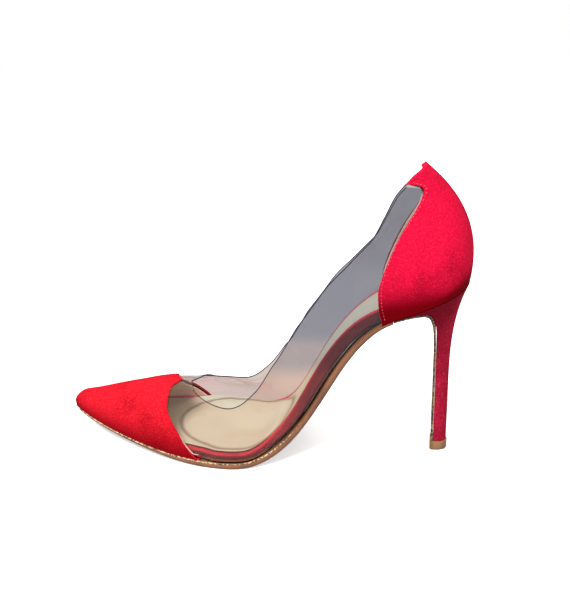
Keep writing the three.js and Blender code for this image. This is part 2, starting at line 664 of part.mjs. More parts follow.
const HEEL_LEVELS = [0, 0.05, 0.1, 0.16, 0.23, 0.31, 0.41, 0.52, 0.65, 1];
function heelLoft(inset, grow = 0) {
  const around = 9;
  const sections = HEEL_LEVELS.map((level) => heelSection(level, inset, around));
  const moved = (section, dz) => section.map((p) => p.clone().setZ(p.z + dz));
  if (grow) {
    sections.unshift(moved(sections[0], grow));
    sections.push(moved(sections.at(-1), -grow));
  }
  const out = [];
  const count = sections[0].length;
  for (let k = 0; k < sections.length - 1; k++)
    for (let i = 0; i < count; i++) {
      const j = (i + 1) % count;
      quad(out, sections[k][i], sections[k + 1][i], sections[k + 1][j], sections[k][j]);
    }
  const cap = (section, down) => {
    for (let i = 0; i < (count - 1) / 2; i++) {
      const [a, b, c, d] = [section[i], section[i + 1], section[count - 2 - i], section[count - 1 - i]];
      if (down) quad(out, a, d, c, b);
      else quad(out, a, b, c, d);
    }
  };
  cap(sections[0], false);
  cap(sections[sections.length - 1], true);
  return toSolid(geometryOf(flipIfInsideOut(out)));
}

// The hollow under the heel's front lip, as a profile in the XZ plane pushed right across the shoe.
function breastCut(depth) {
  const frontX = stemFrontX + depth;
  const underside = (x) => {
    const t = (x - SEAT_FRONT_X) / BREAST_TOP;
    return seatZ(x) - lerp(LIP_FRONT, LIP_BACK, Math.sign(t) * t * t) + depth;
  };
  const turnX = SEAT_FRONT_X + BREAST_TOP + depth;
  const turnZ = underside(turnX);
  const shape = new THREE.Shape();
  shape.moveTo(frontX, -20);
  shape.lineTo(frontX, STEM_STRAIGHT);
  shape.quadraticCurveTo(frontX, turnZ - 2 * BREAST_CORNER, frontX - BREAST_LEAN, turnZ - BREAST_CORNER);
  shape.quadraticCurveTo(frontX - 1.4 * BREAST_LEAN, turnZ + 0.3, turnX, turnZ);
  for (const step of [0.75, 0.5, 0.25, 0, -0.25, -0.5]) {
    const x = SEAT_FRONT_X + step * BREAST_TOP;
    shape.lineTo(x, underside(x));
  }
  shape.lineTo(SEAT_FRONT_X - BREAST_TOP, -20);
  const width = 4 * SEAT_HALF_WIDTH;
  const geometry = new THREE.ExtrudeGeometry(shape, { depth: width, bevelEnabled: false, curveSegments: 6 });
  geometry.rotateX(Math.PI / 2);
  geometry.translate(0, width / 2, 0);
  return toSolid(geometry);
}

const heelOuter = heelLoft(0);
const flapCut = breastCut(BREAST_FLAP);
const coverCut = breastCut(BREAST_FLAP + GAP);
const breastFlap = heelOuter.subtract(breastCut(0)).intersect(flapCut);
const heelCover = heelOuter.subtract(heelLoft(SUEDE, 2)).subtract(coverCut);
let heelCore = heelLoft(SUEDE + GAP).subtract(coverCut);

// Round pieces: a lathe profile of [radius, height] pairs, from axis to axis or closed on itself.
const turned = (profile, segments = 16) =>
  new THREE.LatheGeometry(profile.map(([r, z]) => new THREE.Vector2(r, z)), segments).rotateX(Math.PI / 2);

const TUBE_BASE = TOP_PIECE_HEIGHT + 2 * GAP;
const bore = TUBE_RADIUS - TUBE_WALL;
const tubeTop = TUBE_BASE + TUBE_LENGTH;
const stemMiddleX = (stemFrontX + stemBackX) / 2 + 0.3;
const tubeGeometry = turned([
  [bore, TUBE_BASE],
  [TUBE_RADIUS, TUBE_BASE],
  [TUBE_RADIUS, tubeTop],
  [bore, tubeTop],
  [bore, TUBE_BASE],
]);
tubeGeometry.translate(stemMiddleX, 0, 0);
const holeRadius = TUBE_RADIUS + GAP;
const tubeHole = turned([[0, 0], [holeRadius, 0], [holeRadius, tubeTop + GAP], [0, tubeTop + GAP]]);
tubeHole.translate(stemMiddleX, 0, 0);
heelCore = heelCore.subtract(toSolid(tubeHole));

// Top piece: the replaceable tip, moulded round the head of its steel pin.
const TIP_OVERHANG = 0.5;
const tipShape = () => {
  const [front, back] = [stemFrontX - TIP_OVERHANG, stemBackX + TIP_OVERHANG];
  const half = STEM_WIDTH / 2 + TIP_OVERHANG;
  const corner = 1.2;
  const shape = new THREE.Shape();
  shape.moveTo(front, -half + corner);
  shape.quadraticCurveTo(front, -half, front + corner, -half);
  shape.bezierCurveTo(back - 1, -half, back, -half + 3, back, 0);
  shape.bezierCurveTo(back, half - 3, back - 1, half, front + corner, half);
  shape.quadraticCurveTo(front, half, front, half - corner);
  return shape;
};
const tipBlock = new THREE.ExtrudeGeometry(tipShape(), {
  depth: TOP_PIECE_HEIGHT,
  bevelEnabled: false,
  curveSegments: 6,
});
const PIN_HEAD_BASE = 2.2;
const PIN_RADIUS = bore - GAP;
const pinProfile = (extra) => [
  [0, PIN_HEAD_BASE - extra],
  [PIN_HEAD_RADIUS + extra, PIN_HEAD_BASE - extra],
  [PIN_HEAD_RADIUS + extra, PIN_HEAD_BASE + PIN_HEAD + extra],
  [PIN_RADIUS + extra, PIN_HEAD_BASE + PIN_HEAD + extra],
  [PIN_RADIUS + extra, TUBE_BASE + 0.35 * TUBE_LENGTH],
  [0, TUBE_BASE + 0.35 * TUBE_LENGTH],
];
const pinGeometry = turned(pinProfile(0));
pinGeometry.translate(stemMiddleX, 0, 0);
const pinHole = turned(pinProfile(GAP));
pinHole.translate(stemMiddleX, 0, 0);
const topPiece = toSolid(tipBlock).subtract(toSolid(pinHole));

// Fasteners through the heel seat: one screw in the middle and four nails round it, square to the seat.
const fastener = (x, y, radius, headRadius, length, extra = 0) => {
  const bottom = bottomAt(x);
  const geometry = turned(
    [
      [0, -length - extra],
      [radius * 0.3 + extra, -length - extra],
      [radius + extra, -length + 3 * radius],
      [radius + extra, -FASTENER_HEAD - extra],
      [headRadius + extra, -extra * 0.5],
      [headRadius + extra, extra * 4],
      [0, extra * 4],
    ],
    12,
  );
  const tilt = new THREE.Quaternion().setFromUnitVectors(V(0, 0, 1), bottom.normal);
  geometry.applyQuaternion(tilt);
  const head = V(x, y, bottom.z).addScaledVector(bottom.normal, boardTop(x));
  return geometry.translate(head.x, head.y, head.z);
};
const SCREW_X = stemMiddleX - 3;
const SCREW_LENGTH = 18;
const NAIL_LENGTH = 9.5;
const NAIL_SPREAD_X = 5;
const NAIL_SPREAD_Y = 8;
const nailCorners = [[-1, -1], [-1, 1], [1, -1], [1, 1]];
const nailAt = (i, j) => [SCREW_X + i * NAIL_SPREAD_X, j * NAIL_SPREAD_Y];
const fixings = [
  ["heel_screw", SCREW_X, 0, SCREW_RADIUS, SCREW_HEAD_RADIUS, SCREW_LENGTH],
  ...nailCorners.map(([i, j], n) => [
    `heel_nail_${n + 1}`, ...nailAt(i, j), NAIL_RADIUS, NAIL_HEAD_RADIUS, NAIL_LENGTH,
  ]),
];
let boardSolid = toSolid(board);
let coreSolid = heelCore;
for (const [name, ...place] of fixings) {
  add(name, fastener(...place), steel);
  const clearance = toSolid(fastener(...place, GAP));
  boardSolid = boardSolid.subtract(clearance);
  coreSolid = coreSolid.subtract(clearance);
}

// Two rivets hold the shank to the insole board.
const rivetAt = (x, extra = 0) => {
  const bottom = bottomAt(x);
  const low = SHANK_BASE - 0.1 - extra;
  const high = boardTop(x) - GAP + extra * 4;
  const radius = RIVET_RADIUS + extra;
  const geometry = turned([[0, low], [radius, low], [radius, high], [0, high]], 12);
  geometry.applyQuaternion(new THREE.Quaternion().setFromUnitVectors(V(0, 0, 1), bottom.normal));
  return geometry.translate(x, 0, bottom.z);
};
const rivets = [["shank_rivet_front", SHANK_START + 9], ["shank_rivet_rear", SHANK_END - 9]];
for (const [name, x] of rivets) {
  add(name, rivetAt(x), steel);
  const clearance = toSolid(rivetAt(x, GAP));
  boardSolid = boardSolid.subtract(clearance);
  shank = shank.subtract(clearance);
}

add("insole_board", fromSolid(boardSolid), fibreBoard);
add("steel_shank", fromSolid(shank), steel);
add("heel_core", fromSolid(coreSolid), moulded);
add("heel_cover", fromSolid(heelCover), redSuede);
add("breast_flap", fromSolid(breastFlap), soleLeather);
add("heel_tube", tubeGeometry, steel);
add("top_piece", fromSolid(topPiece), tipPlastic);
add("top_piece_pin", pinGeometry, steel);

// ---------- origin: the middle of the base, on the floor ----------
const bounds = new THREE.Box3().setFromObject(shoe);
const middle = bounds.getCenter(V(0, 0, 0));
shoe.position.set(-middle.x, -middle.y, -bounds.min.z);

export default pump;
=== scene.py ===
# %% [markdown]
# # A high heel pump, dressed piece by piece
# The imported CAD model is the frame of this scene: it holds every place and every size. Its solids are cut
# coarsely, so most of the pieces that the eye meets are rebuilt here on the same curves with many more
# points, and each one gets a finish made of shader nodes. Nothing is measured twice: the shape numbers
# below are the maker's numbers of the last, the wooden or plastic form that a shoe is built on.

# %% Load the frame and keep its box
import bisect
import math
import random

import bmesh
import bpy
from mathutils import Matrix, Vector


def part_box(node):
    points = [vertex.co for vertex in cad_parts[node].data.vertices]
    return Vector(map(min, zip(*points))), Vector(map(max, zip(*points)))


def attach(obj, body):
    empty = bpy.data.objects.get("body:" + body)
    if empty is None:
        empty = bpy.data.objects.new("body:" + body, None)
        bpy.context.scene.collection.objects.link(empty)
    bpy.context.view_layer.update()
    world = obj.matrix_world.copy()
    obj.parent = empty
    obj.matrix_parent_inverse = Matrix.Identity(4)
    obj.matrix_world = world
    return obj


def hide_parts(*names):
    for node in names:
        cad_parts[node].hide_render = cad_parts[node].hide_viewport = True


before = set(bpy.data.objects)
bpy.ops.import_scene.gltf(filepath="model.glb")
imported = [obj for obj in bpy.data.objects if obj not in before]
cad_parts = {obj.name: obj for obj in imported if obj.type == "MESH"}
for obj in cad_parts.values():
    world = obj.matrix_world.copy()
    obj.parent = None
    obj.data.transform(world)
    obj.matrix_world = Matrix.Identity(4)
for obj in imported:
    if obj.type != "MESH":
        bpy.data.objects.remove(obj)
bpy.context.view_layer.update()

print("nodes in the frame:", len(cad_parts))

# %% [markdown]
# ## The maker's frame
# The shoe's curves are drawn in millimetres from the centre of the heel tip. Blender works in metres from
# the middle of the shoe, so every point passes through one small function. The shift is read from the
# frame's own top piece, so the two can't drift apart.

# %% From the maker's millimetres to Blender's metres
MM = 0.001
TIP_FRONT = -5.4
TIP_BACK = 4.2
ORIGIN_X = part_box("top_piece")[0][0] / MM - TIP_FRONT


def placed(point):
    return Vector(((point.x + ORIGIN_X) * MM, point.y * MM, point.z * MM))


print("heel tip centre sits at x =", round(ORIGIN_X, 2), "mm")

# %% [markdown]
# ## The camera
# The shoe is seen from its outer side, a little from the front and well from above, with the camera
# rolled slightly. A camera is placed here by its target, two angles and a distance, which is easier to
# reason about than a matrix: turn, climb, step back, then roll.

# %% Camera
CAMERA_TARGET = Vector((-92.0, 0.0, 70.0))
CAMERA_TURN = math.radians(11.64)
CAMERA_CLIMB = math.radians(22.33)
CAMERA_ROLL = math.radians(-2.65)
CAMERA_DISTANCE = 429.97
CAMERA_LENS = 45.835
CAMERA_SHIFT = (0.0161, 0.0469)
TIP_CENTRE_X = 0.5 * (TIP_FRONT + TIP_BACK)

away = Vector((
    math.sin(CAMERA_TURN) * math.cos(CAMERA_CLIMB),
    -math.cos(CAMERA_TURN) * math.cos(CAMERA_CLIMB),
    math.sin(CAMERA_CLIMB),
))
level = Vector((math.cos(CAMERA_TURN), math.sin(CAMERA_TURN), 0.0))
upright = away.cross(level)
sideways = level * math.cos(CAMERA_ROLL) + upright * math.sin(CAMERA_ROLL)
upwards = upright * math.cos(CAMERA_ROLL) - level * math.sin(CAMERA_ROLL)

camera_data = bpy.data.cameras.new("camera")
camera_data.lens = CAMERA_LENS
camera_data.shift_x, camera_data.shift_y = CAMERA_SHIFT
camera = bpy.data.objects.new("camera", camera_data)
bpy.context.scene.collection.objects.link(camera)
camera_place = CAMERA_TARGET + Vector((TIP_CENTRE_X, 0, 0)) + away * CAMERA_DISTANCE
camera_axes = Matrix((sideways, upwards, away)).transposed().to_4x4()
camera.matrix_world = Matrix.Translation(placed(camera_place)) @ camera_axes
bpy.context.scene.camera = camera
print("camera at", [round(v, 3) for v in camera.location])

# %% [markdown]
# ## Curve helpers
# A shoemaker's last has no straight lines, so its measures are given as short lists of "here it is this
# wide", joined by a smooth curve that never overshoots. Blender's own curves could do this too, but a
# plain function can be asked for its value anywhere, which is what a lofted skin needs.

# %% Helpers for smooth measures


def lerp(a, b, t):
    return a + (b - a) * t


def clamp(value, low, high):
    return max(low, min(high, value))


def smoothstep(x, low, high):
    t = clamp((x - low) / (high - low), 0.0, 1.0)
    return t * t * (3 - 2 * t)


def through(*points):
    xs, ys = [p[0] for p in points], [p[1] for p in points]
    last = len(points) - 1
    slope = [(ys[i + 1] - ys[i]) / (xs[i + 1] - xs[i]) for i in range(last)]
    tangent = [slope[0]]
    for a, b in zip(slope, slope[1:]):
        tangent.append(0 if a * b <= 0 else 2 * a * b / (a + b))
    tangent.append(slope[-1])

    def value_at(x):
        x = clamp(x, xs[0], xs[last])
        i = min(bisect.bisect_right(xs, x) - 1, last - 1)
        step = xs[i + 1] - xs[i]
        t = (x - xs[i]) / step
        return (
            ys[i] * (2 * t**3 - 3 * t**2 + 1)
            + tangent[i] * step * (t**3 - 2 * t**2 + t)
            + ys[i + 1] * (3 * t**2 - 2 * t**3)
            + tangent[i + 1] * step * (t**3 - t**2)
        )

    return value_at


def bezier(points, t):
    points = list(points)
    while len(points) > 1:
        points = [a + (b - a) * t for a, b in zip(points, points[1:])]
    return points[0]


print("half way along a rise from 0 to 1:", through((0, 0), (1, 1))(0.5))

# %% [markdown]
# ## The bottom line of the last
# Seen from the side, the underside of the foot is one line: a little spring under the toe, a flat tread
# at the ball, the long S of the arch, and the sloping heel seat. Everything in the shoe stands on this
# line, so it comes first. Its normal, the direction square to it, is blended between samples, because a
# stepped normal would show as facets in the leather.

# %% Side line of the last
HEEL_HEIGHT = 102.0
TOE_X, BALL_X = -222.0, -118.0
SEAT_BACK, SEAT_LENGTH, SEAT_DROP = 12.2, 38.2, 17.2
TREAD_START_X, TREAD_END_X = BALL_X - 3.0, BALL_X + 8.0
TOE_SPRING, OUTSOLE_EDGE, SOLE_OVERHANG = 10.0, 2.8, 0.8
SEAT_FRONT_X = SEAT_BACK - SEAT_LENGTH
SEAT_FRONT_Z = HEEL_HEIGHT - SEAT_DROP
SEAT_SLOPE = math.radians(27)
ARCH = SEAT_FRONT_X - TREAD_END_X
BALL_HANDLE, ARCH_HANDLE = 0.51 * ARCH, 0.56 * ARCH
SIDE_SAMPLES = 80


def at(x, z):
    return Vector((x, z))


side_curves = [
    [at(TOE_X - SOLE_OVERHANG, OUTSOLE_EDGE + TOE_SPRING), at(lerp(TOE_X, TREAD_START_X, 0.55), OUTSOLE_EDGE),
     at(TREAD_START_X, OUTSOLE_EDGE)],
    [at(TREAD_START_X, OUTSOLE_EDGE), at(TREAD_END_X, OUTSOLE_EDGE)],
    [at(TREAD_END_X, OUTSOLE_EDGE), at(TREAD_END_X + BALL_HANDLE, OUTSOLE_EDGE),
     at(SEAT_FRONT_X - ARCH_HANDLE * math.cos(SEAT_SLOPE), SEAT_FRONT_Z - ARCH_HANDLE * math.sin(SEAT_SLOPE)),
     at(SEAT_FRONT_X, SEAT_FRONT_Z)],
    [at(SEAT_FRONT_X, SEAT_FRONT_Z),
     at(SEAT_FRONT_X + 0.4 * SEAT_LENGTH, SEAT_FRONT_Z + 0.4 * SEAT_LENGTH * math.tan(SEAT_SLOPE)),
     at(SEAT_BACK + SOLE_OVERHANG, HEEL_HEIGHT)],
]
side_line = []
for curve in side_curves:
    samples = [bezier(curve, i / SIDE_SAMPLES) for i in range(SIDE_SAMPLES + 1)]
    side_line += samples[1:] if side_line else samples
side_x = [p.x for p in side_line]
side_slope = [
    (side_line[min(i + 1, len(side_line) - 1)] - side_line[max(i - 1, 0)]).normalized()
    for i in range(len(side_line))
]


def bottom_at(x):
    i = clamp(bisect.bisect_right(side_x, x) - 1, 0, len(side_x) - 2)
    t = (x - side_x[i]) / (side_x[i + 1] - side_x[i])
    slope = side_slope[i].lerp(side_slope[i + 1], clamp(t, 0.0, 1.0)).normalized()
    return lerp(side_line[i].y, side_line[i + 1].y, t), Vector((-slope.y, 0, slope.x))


print("arch height under the waist:", round(bottom_at(lerp(TREAD_END_X, SEAT_FRONT_X, 0.5))[0], 1), "mm")

# %% [markdown]
# ## The feather line
# Seen from above, the edge where the upper meets the sole is called the feather line. Four Bezier curves
# give one half of it from the toe tip (position 0) through the ball (1), the waist (2) and the widest
# line of the seat (3) to the back of the heel (4). The other half mirrors it about a line that swings
# gently to the inner side, since a foot is not symmetrical.

# %% Outline seen from above
BALL_HALF_WIDTH, WAIST_HALF_WIDTH, SEAT_HALF_WIDTH = 38.8, 18.5, 25.2
TOE_TIP_HANDLE, TOE_SWING = 7.5, 3.4
WAIST_X = lerp(TREAD_END_X, SEAT_FRONT_X, 0.62)
SEAT_WIDEST_X = SEAT_BACK - 21
outline = [
    [at(TOE_X, 0), at(TOE_X, TOE_TIP_HANDLE), at(lerp(TOE_X, BALL_X, 0.62), BALL_HALF_WIDTH),
     at(BALL_X, BALL_HALF_WIDTH)],
    [at(BALL_X, BALL_HALF_WIDTH), at(lerp(BALL_X, WAIST_X, 0.42), BALL_HALF_WIDTH),
     at(lerp(BALL_X, WAIST_X, 0.5), WAIST_HALF_WIDTH + 1), at(WAIST_X, WAIST_HALF_WIDTH)],
    [at(WAIST_X, WAIST_HALF_WIDTH), at(lerp(WAIST_X, SEAT_WIDEST_X, 0.45), WAIST_HALF_WIDTH - 0.5),
     at(lerp(WAIST_X, SEAT_WIDEST_X, 0.65), SEAT_HALF_WIDTH), at(SEAT_WIDEST_X, SEAT_HALF_WIDTH)],
    [at(SEAT_WIDEST_X, SEAT_HALF_WIDTH), at(lerp(SEAT_WIDEST_X, SEAT_BACK, 0.66), SEAT_HALF_WIDTH),
     at(SEAT_BACK, 0.6 * SEAT_HALF_WIDTH), at(SEAT_BACK, 0)],
]
BACK = len(outline)
swing = through((TOE_X, TOE_SWING), (BALL_X, 0), (WAIST_X, 1), (SEAT_WIDEST_X, 0), (SEAT_BACK, 0))


def inset_point(u, inset):
    k = min(int(u), BACK - 1)
    t = u - k
    here = bezier(outline[k], t)
    along = (bezier(outline[k], min(t + 1e-4, 1)) - bezier(outline[k], max(t - 1e-4, 0))).normalized()
    return here.x + along.y * inset, here.y - along.x * inset, here.x


start_cache = {}


def start_of(inset):
    if inset <= 0:
        return 0.0
    key = round(inset, 6)
    if key not in start_cache:
        low, high = 0.0, 0.5
        for _ in range(30):
            middle = (low + high) / 2
            if inset_point(middle, inset)[1] > 0:
                high = middle
            else:
                low = middle
        start_cache[key] = high
    return start_cache[key]


def outline_at(u, side, inset=0.0):
    x, half, origin = inset_point(lerp(start_of(inset), 1, u) if u < 1 else u, inset)
    if u in (0, BACK):
        half = 0.0
    return Vector((x, swing(origin) + side * half, bottom_at(x)[0]))


def position_at(x):
    low, high = 0.0, float(BACK)
    for _ in range(40):
        middle = (low + high) / 2
        if inset_point(middle, 0)[0] < x:
            low = middle
        else:
            high = middle
    return low


print("outline position of the heel's front corners:", round(position_at(SEAT_FRONT_X), 3))

# %% [markdown]
# ## The skin of the last
# The upper is a skin stretched from the feather line to the top line. At each outline position one rib,
# a cubic Bezier, climbs from the sole to the rim of the opening. The tables say how high the rib rises,
# how far it leans in and how much it bulges. Walking both ways over the ribs, u along the shoe and h up
# the rib, reaches every point of the skin, and a layer inside it is the same point moved in along the
# surface normal.

# %% Ribs of the upper
THROAT = 0.79
top_setback = through((0, 9), (0.25, 4), (0.5, 1.5), (1, 0), (1.5, -1), (2, -6), (2.5, -8), (3, -15),
                      (3.5, -20), (4, -24.7))
top_half_width = through((THROAT, 0), (0.82, 10), (0.87, 16.5), (0.94, 21), (1, 22.5), (1.25, 23), (1.75, 23),
                         (2.25, 20.5), (2.75, 19), (3, 17.5), (3.25, 14.5), (3.5, 10.5), (3.75, 5.5), (4, 0))
rise = through((0, 10), (0.25, 14.5), (0.5, 23.5), (0.7, 31), (THROAT, 32), (0.9, 28), (1, 26.3), (1.25, 35),
               (1.5, 46), (1.75, 50), (2, 42), (2.25, 38), (2.5, 39.6), (2.75, 47), (3, 55), (3.5, 59),
               (4, 60.9))
lean = through((0, 90), (THROAT, 90), (0.9, 55), (1.1, 34), (1.5, 14), (2, 5), (3, 7), (4, 0))
side_lift = through((THROAT, 0), (1.25, 1.2), (1.6, 3), (2.5, 3.4), (3.1, 3.7), (3.5, 2), (4, 0))
nose_length = through((0, 3), (0.25, 1.5), (0.5, 0.5), (1, 0), (3, 0), (3.5, 3.4), (4, 4.8))
top_sweep = through((0, -5), (0.25, -3), (0.5, 0), (3, 0), (3.25, 4), (3.5, 11), (4, 20))
bulge = through((0, 0), (0.5, 1), (1, 1.5), (1.5, 2), (2, 3), (2.5, 4), (3, 4), (3.5, 3), (4, 0))


def skin_point(u, side, h):
    foot = outline_at(u, side)
    centre = swing(foot.x) * (1 - smoothstep(u, 1, 2))
    half = 0 if u <= THROAT else top_half_width(u)
    top = Vector((foot.x + top_setback(u), centre + side * half, foot.z + rise(u) - side * side_lift(u)))
    reach = (top - foot).length
    angle = math.radians(lean(u))
    low = foot + Vector(((-1 if u < 2 else 1) * nose_length(u), side * bulge(u), 0.38 * reach))
    pull = Vector((top_sweep(u), side * math.sin(angle) * 0.34 * reach, -math.cos(angle) * 0.36 * reach))
    high = top + pull
    if u < 0.5:
        high.y = lerp(top.y, high.y, u / 0.5)
    if u > 3:
        high.z = lerp(high.z, top.z - 0.24 * reach, u - 3)
    return bezier((foot, low, high, top), h)


def skin(u, side, h, depth):
    step = 1e-3
    on_ridge = h == 1 and u <= THROAT
    on_middle = on_ridge or u in (0, BACK)
    if on_middle:
        side = 1
    ahead = min(u + step, THROAT if on_ridge else BACK)
    along = skin_point(ahead, side, h) - skin_point(max(u - step, 0), side, h)
    up = skin_point(u, side, min(h + step, 1)) - skin_point(u, side, max(h - step, 0))
    normal = (along.cross(up) * -side).normalized()
    if on_middle:
        normal.y = 0
        normal.normalize()
    return skin_point(u, side, h) - normal * depth


print("top of the back, above the floor:", round(skin_point(BACK, 1, 1).z, 1), "mm")

# %% [markdown]
# ## Mesh helpers
# A sheet of leather or vinyl is modelled with its thickness: an outer grid, an inner grid, and a rim that
# closes them. The rim gets one extra row of points pushed outwards, so a cut or folded edge is round and
# catches light, as no real edge is perfectly sharp. A Solidify modifier would also thicken a sheet, but
# it can't follow layers that must stay clear of each other.

# %% A sheet with thickness and a rounded rim
EDGE_ROUND = 0.4
RIM_MATERIAL = 1


def shell(outer, inner, is_open=lambda rim, k: False):
    columns, rows = len(outer), len(outer[0])
    points = [p for column in outer for p in column] + [p for column in inner for p in column]

    def top(i, j):
        return i * rows + j

    def low(i, j):
        return columns * rows + top(i, j)

    faces = []
    for i in range(columns - 1):
        for j in range(rows - 1):
            faces.append((top(i, j), top(i + 1, j), top(i + 1, j + 1), top(i, j + 1)))
            faces.append((low(i, j), low(i, j + 1), low(i + 1, j + 1), low(i + 1, j)))
    edges = []
    for i in range(columns - 1):
        edges.append(("low", i, (i, 0), (i + 1, 0), (0, 1)))
        edges.append(("top", i, (i + 1, rows - 1), (i, rows - 1), (0, -1)))
    for j in range(rows - 1):
        edges.append(("start", j, (0, j + 1), (0, j), (1, 0)))
        edges.append(("end", j, (columns - 1, j), (columns - 1, j + 1), (-1, 0)))
    edges = [edge for edge in edges if not is_open(edge[0], edge[1])]
    outward = {}
    for _, _, a, b, (di, dj) in edges:
        for i, j in (a, b):
            across = outer[i][j] - outer[i + di][j + dj]
            if across.length > 1e-6:
                outward[i, j] = outward.get((i, j), Vector()) + across.normalized()
    middle = {}
    for (i, j), direction in outward.items():
        thickness = (outer[i][j] - inner[i][j]).length
        middle[i, j] = len(points)
        points.append((outer[i][j] + inner[i][j]) / 2 + direction.normalized() * EDGE_ROUND * thickness)
    body_faces = len(faces)
    for _, _, a, b, _ in edges:
        if a in middle and b in middle:
            faces.append((top(*b), top(*a), middle[a], middle[b]))
            faces.append((middle[b], middle[a], low(*a), low(*b)))
    return points, faces, body_faces


print("a rim is rounded by", EDGE_ROUND, "of the sheet's thickness")

# %% [markdown]
# Closed sections joined in a row make the other solids: the heel, the outsole's edge, a cord. The first
# and last sections are closed with a face each, or joined to each other for a ring.

# %% A solid lofted through closed sections


def loft(sections, ring=False):
    count = len(sections[0])
    points = [p for section in sections for p in section]
    faces = []
    for k in range(len(sections) if ring else len(sections) - 1):
        after = (k + 1) % len(sections)
        for i in range(count):
            j = (i + 1) % count
            faces.append((k * count + i, after * count + i, after * count + j, k * count + j))
    if not ring:
        faces.append(tuple(range(count)))
        faces.append(tuple(range(len(points) - 1, len(points) - 1 - count, -1)))
    return points, faces, len(faces)


def joined(*parts):
    points, faces = [], []
    for part_points, part_faces, _ in parts:
        faces += [tuple(i + len(points) for i in face) for face in part_faces]
        points += part_points
    return points, faces, len(faces)


def make_mesh(name, part):
    points, faces, body_faces = part
    mesh = bpy.data.meshes.new(name)
    mesh.from_pydata([placed(p) for p in points], [], faces)
    for polygon in mesh.polygons[body_faces:]:
        polygon.material_index = RIM_MATERIAL
    work = bmesh.new()
    work.from_mesh(mesh)
    bmesh.ops.remove_doubles(work, verts=work.verts, dist=2e-6)
    bmesh.ops.recalc_face_normals(work, faces=work.faces)
    work.to_mesh(mesh)
    work.free()
    return mesh


def make_piece(name, part, materials, nodes=(), sharp_angle=45):
    mesh = part if isinstance(part, bpy.types.Mesh) else make_mesh(name, part)
    mesh.materials.clear()
    for material in materials:
        mesh.materials.append(material)
    for polygon in mesh.polygons:
        polygon.material_index = min(polygon.material_index, len(materials) - 1)
    mesh.shade_smooth()
    mesh.set_sharp_from_angle(angle=math.radians(sharp_angle))
    piece = bpy.data.objects.new(name, mesh)
    bpy.context.scene.collection.objects.link(piece)
    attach(piece, "root")
    if nodes:
        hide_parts(*nodes)
    print(name, len(mesh.polygons), "faces")
    return piece


# %% [markdown]
# ## Finishes: shared effects
# Suede is leather with its flesh side brushed up. Millions of short fibres lie this way and that, so
# patches look darker or lighter, and a fine speckle covers everything. One node group makes both, from a
# large noise for the patches and a tiny one for the fibres, and every suede piece uses it with its own
# colours.

# %% Node helpers


def new_group(name, inputs, outputs):
    group = bpy.data.node_groups.new(name, "ShaderNodeTree")
    for label, kind, value in inputs:
        socket = group.interface.new_socket(name=label, in_out="INPUT", socket_type="NodeSocket" + kind)
        if value is not None:
            socket.default_value = value
    for label, kind in outputs:
        group.interface.new_socket(name=label, in_out="OUTPUT", socket_type="NodeSocket" + kind)
    return group, group.nodes.new("NodeGroupInput"), group.nodes.new("NodeGroupOutput")


def noise(tree, place, size, detail=3.0, roughness=0.55):
    node = tree.nodes.new("ShaderNodeTexNoise")
    node.inputs["Detail"].default_value = detail
    node.inputs["Roughness"].default_value = roughness
    tree.links.new(place, node.inputs["Vector"])
    if isinstance(size, (int, float)):
        node.inputs["Scale"].default_value = size
    else:
        tree.links.new(size, node.inputs["Scale"])
    return node.outputs["Fac"]


def ramp(tree, value, low, high, to_low=0.0, to_high=1.0):
    node = tree.nodes.new("ShaderNodeMapRange")
    node.interpolation_type = "SMOOTHSTEP"
    for label, number in zip(("From Min", "From Max", "To Min", "To Max"), (low, high, to_low, to_high)):
        node.inputs[label].default_value = number
    tree.links.new(value, node.inputs["Value"])
    return node.outputs["Result"]


def mixed(tree, share, a, b):
    node = tree.nodes.new("ShaderNodeMix")
    node.data_type = "RGBA"
    for source, socket in ((share, node.inputs[0]), (a, node.inputs[6]), (b, node.inputs[7])):
        if isinstance(source, (int, float, tuple)):
            socket.default_value = source
        else:
            tree.links.new(source, socket)
    return node.outputs[2]


def combined(tree, operation, a, b):
    node = tree.nodes.new("ShaderNodeMath")
    node.operation = operation
    for source, socket in ((a, node.inputs[0]), (b, node.inputs[1])):
        if isinstance(source, (int, float)):
            socket.default_value = source
        else:
            tree.links.new(source, socket)
    return node.outputs[0]


def rgb(red, green, blue):
    def linear(value):
        value /= 255
        return value / 12.92 if value <= 0.04045 else ((value + 0.055) / 1.055) ** 2.4

    return linear(red), linear(green), linear(blue), 1.0


print("mid grey in linear light:", round(rgb(128, 128, 128)[0], 3))

# %% [markdown]
# In the suede group the fibres that lie flat darken a patch and the ones that stand up take the fibre
# colour. The painted light share fades both, as painted shade on faces that look down.

# %% The suede nap group
suede_nap, nap_in, nap_out = new_group(
    "suede nap",
    [("Place", "Vector", None), ("Deep colour", "Color", (0.2, 0, 0.01, 1)),
     ("Lit colour", "Color", (0.8, 0, 0.03, 1)), ("Fibre colour", "Color", (0.9, 0.3, 0.35, 1)),
     ("Patch size", "Float", 60.0), ("Fibre size", "Float", 1000.0), ("Fibre contrast", "Float", 0.35),
     ("Painted light share", "Float", 1.0)],
    [("Colour", "Color"), ("Roughness", "Float"), ("Height", "Float")],
)
nap = nap_in.outputs
patches = noise(suede_nap, nap["Place"], nap["Patch size"], 5.0, 0.6)
fibres = noise(suede_nap, nap["Place"], nap["Fibre size"], 3.0, 0.75)
lying = ramp(suede_nap, fibres, 0.56, 0.4)
dark_fibres = combined(suede_nap, "MULTIPLY", lying, nap["Fibre contrast"])
# Painted shade also dims the light fibres on faces that look down.
raised_fibres_with_painted_shade = combined(suede_nap, "MULTIPLY", ramp(suede_nap, fibres, 0.54, 0.72), nap["Painted light share"])
light_fibres_with_painted_shade = combined(suede_nap, "MULTIPLY", raised_fibres_with_painted_shade, nap["Fibre contrast"])
lit_patches = ramp(suede_nap, patches, 0.25, 0.55, 0.62, 1.0)
lit_share = combined(suede_nap, "SUBTRACT", lit_patches, dark_fibres)
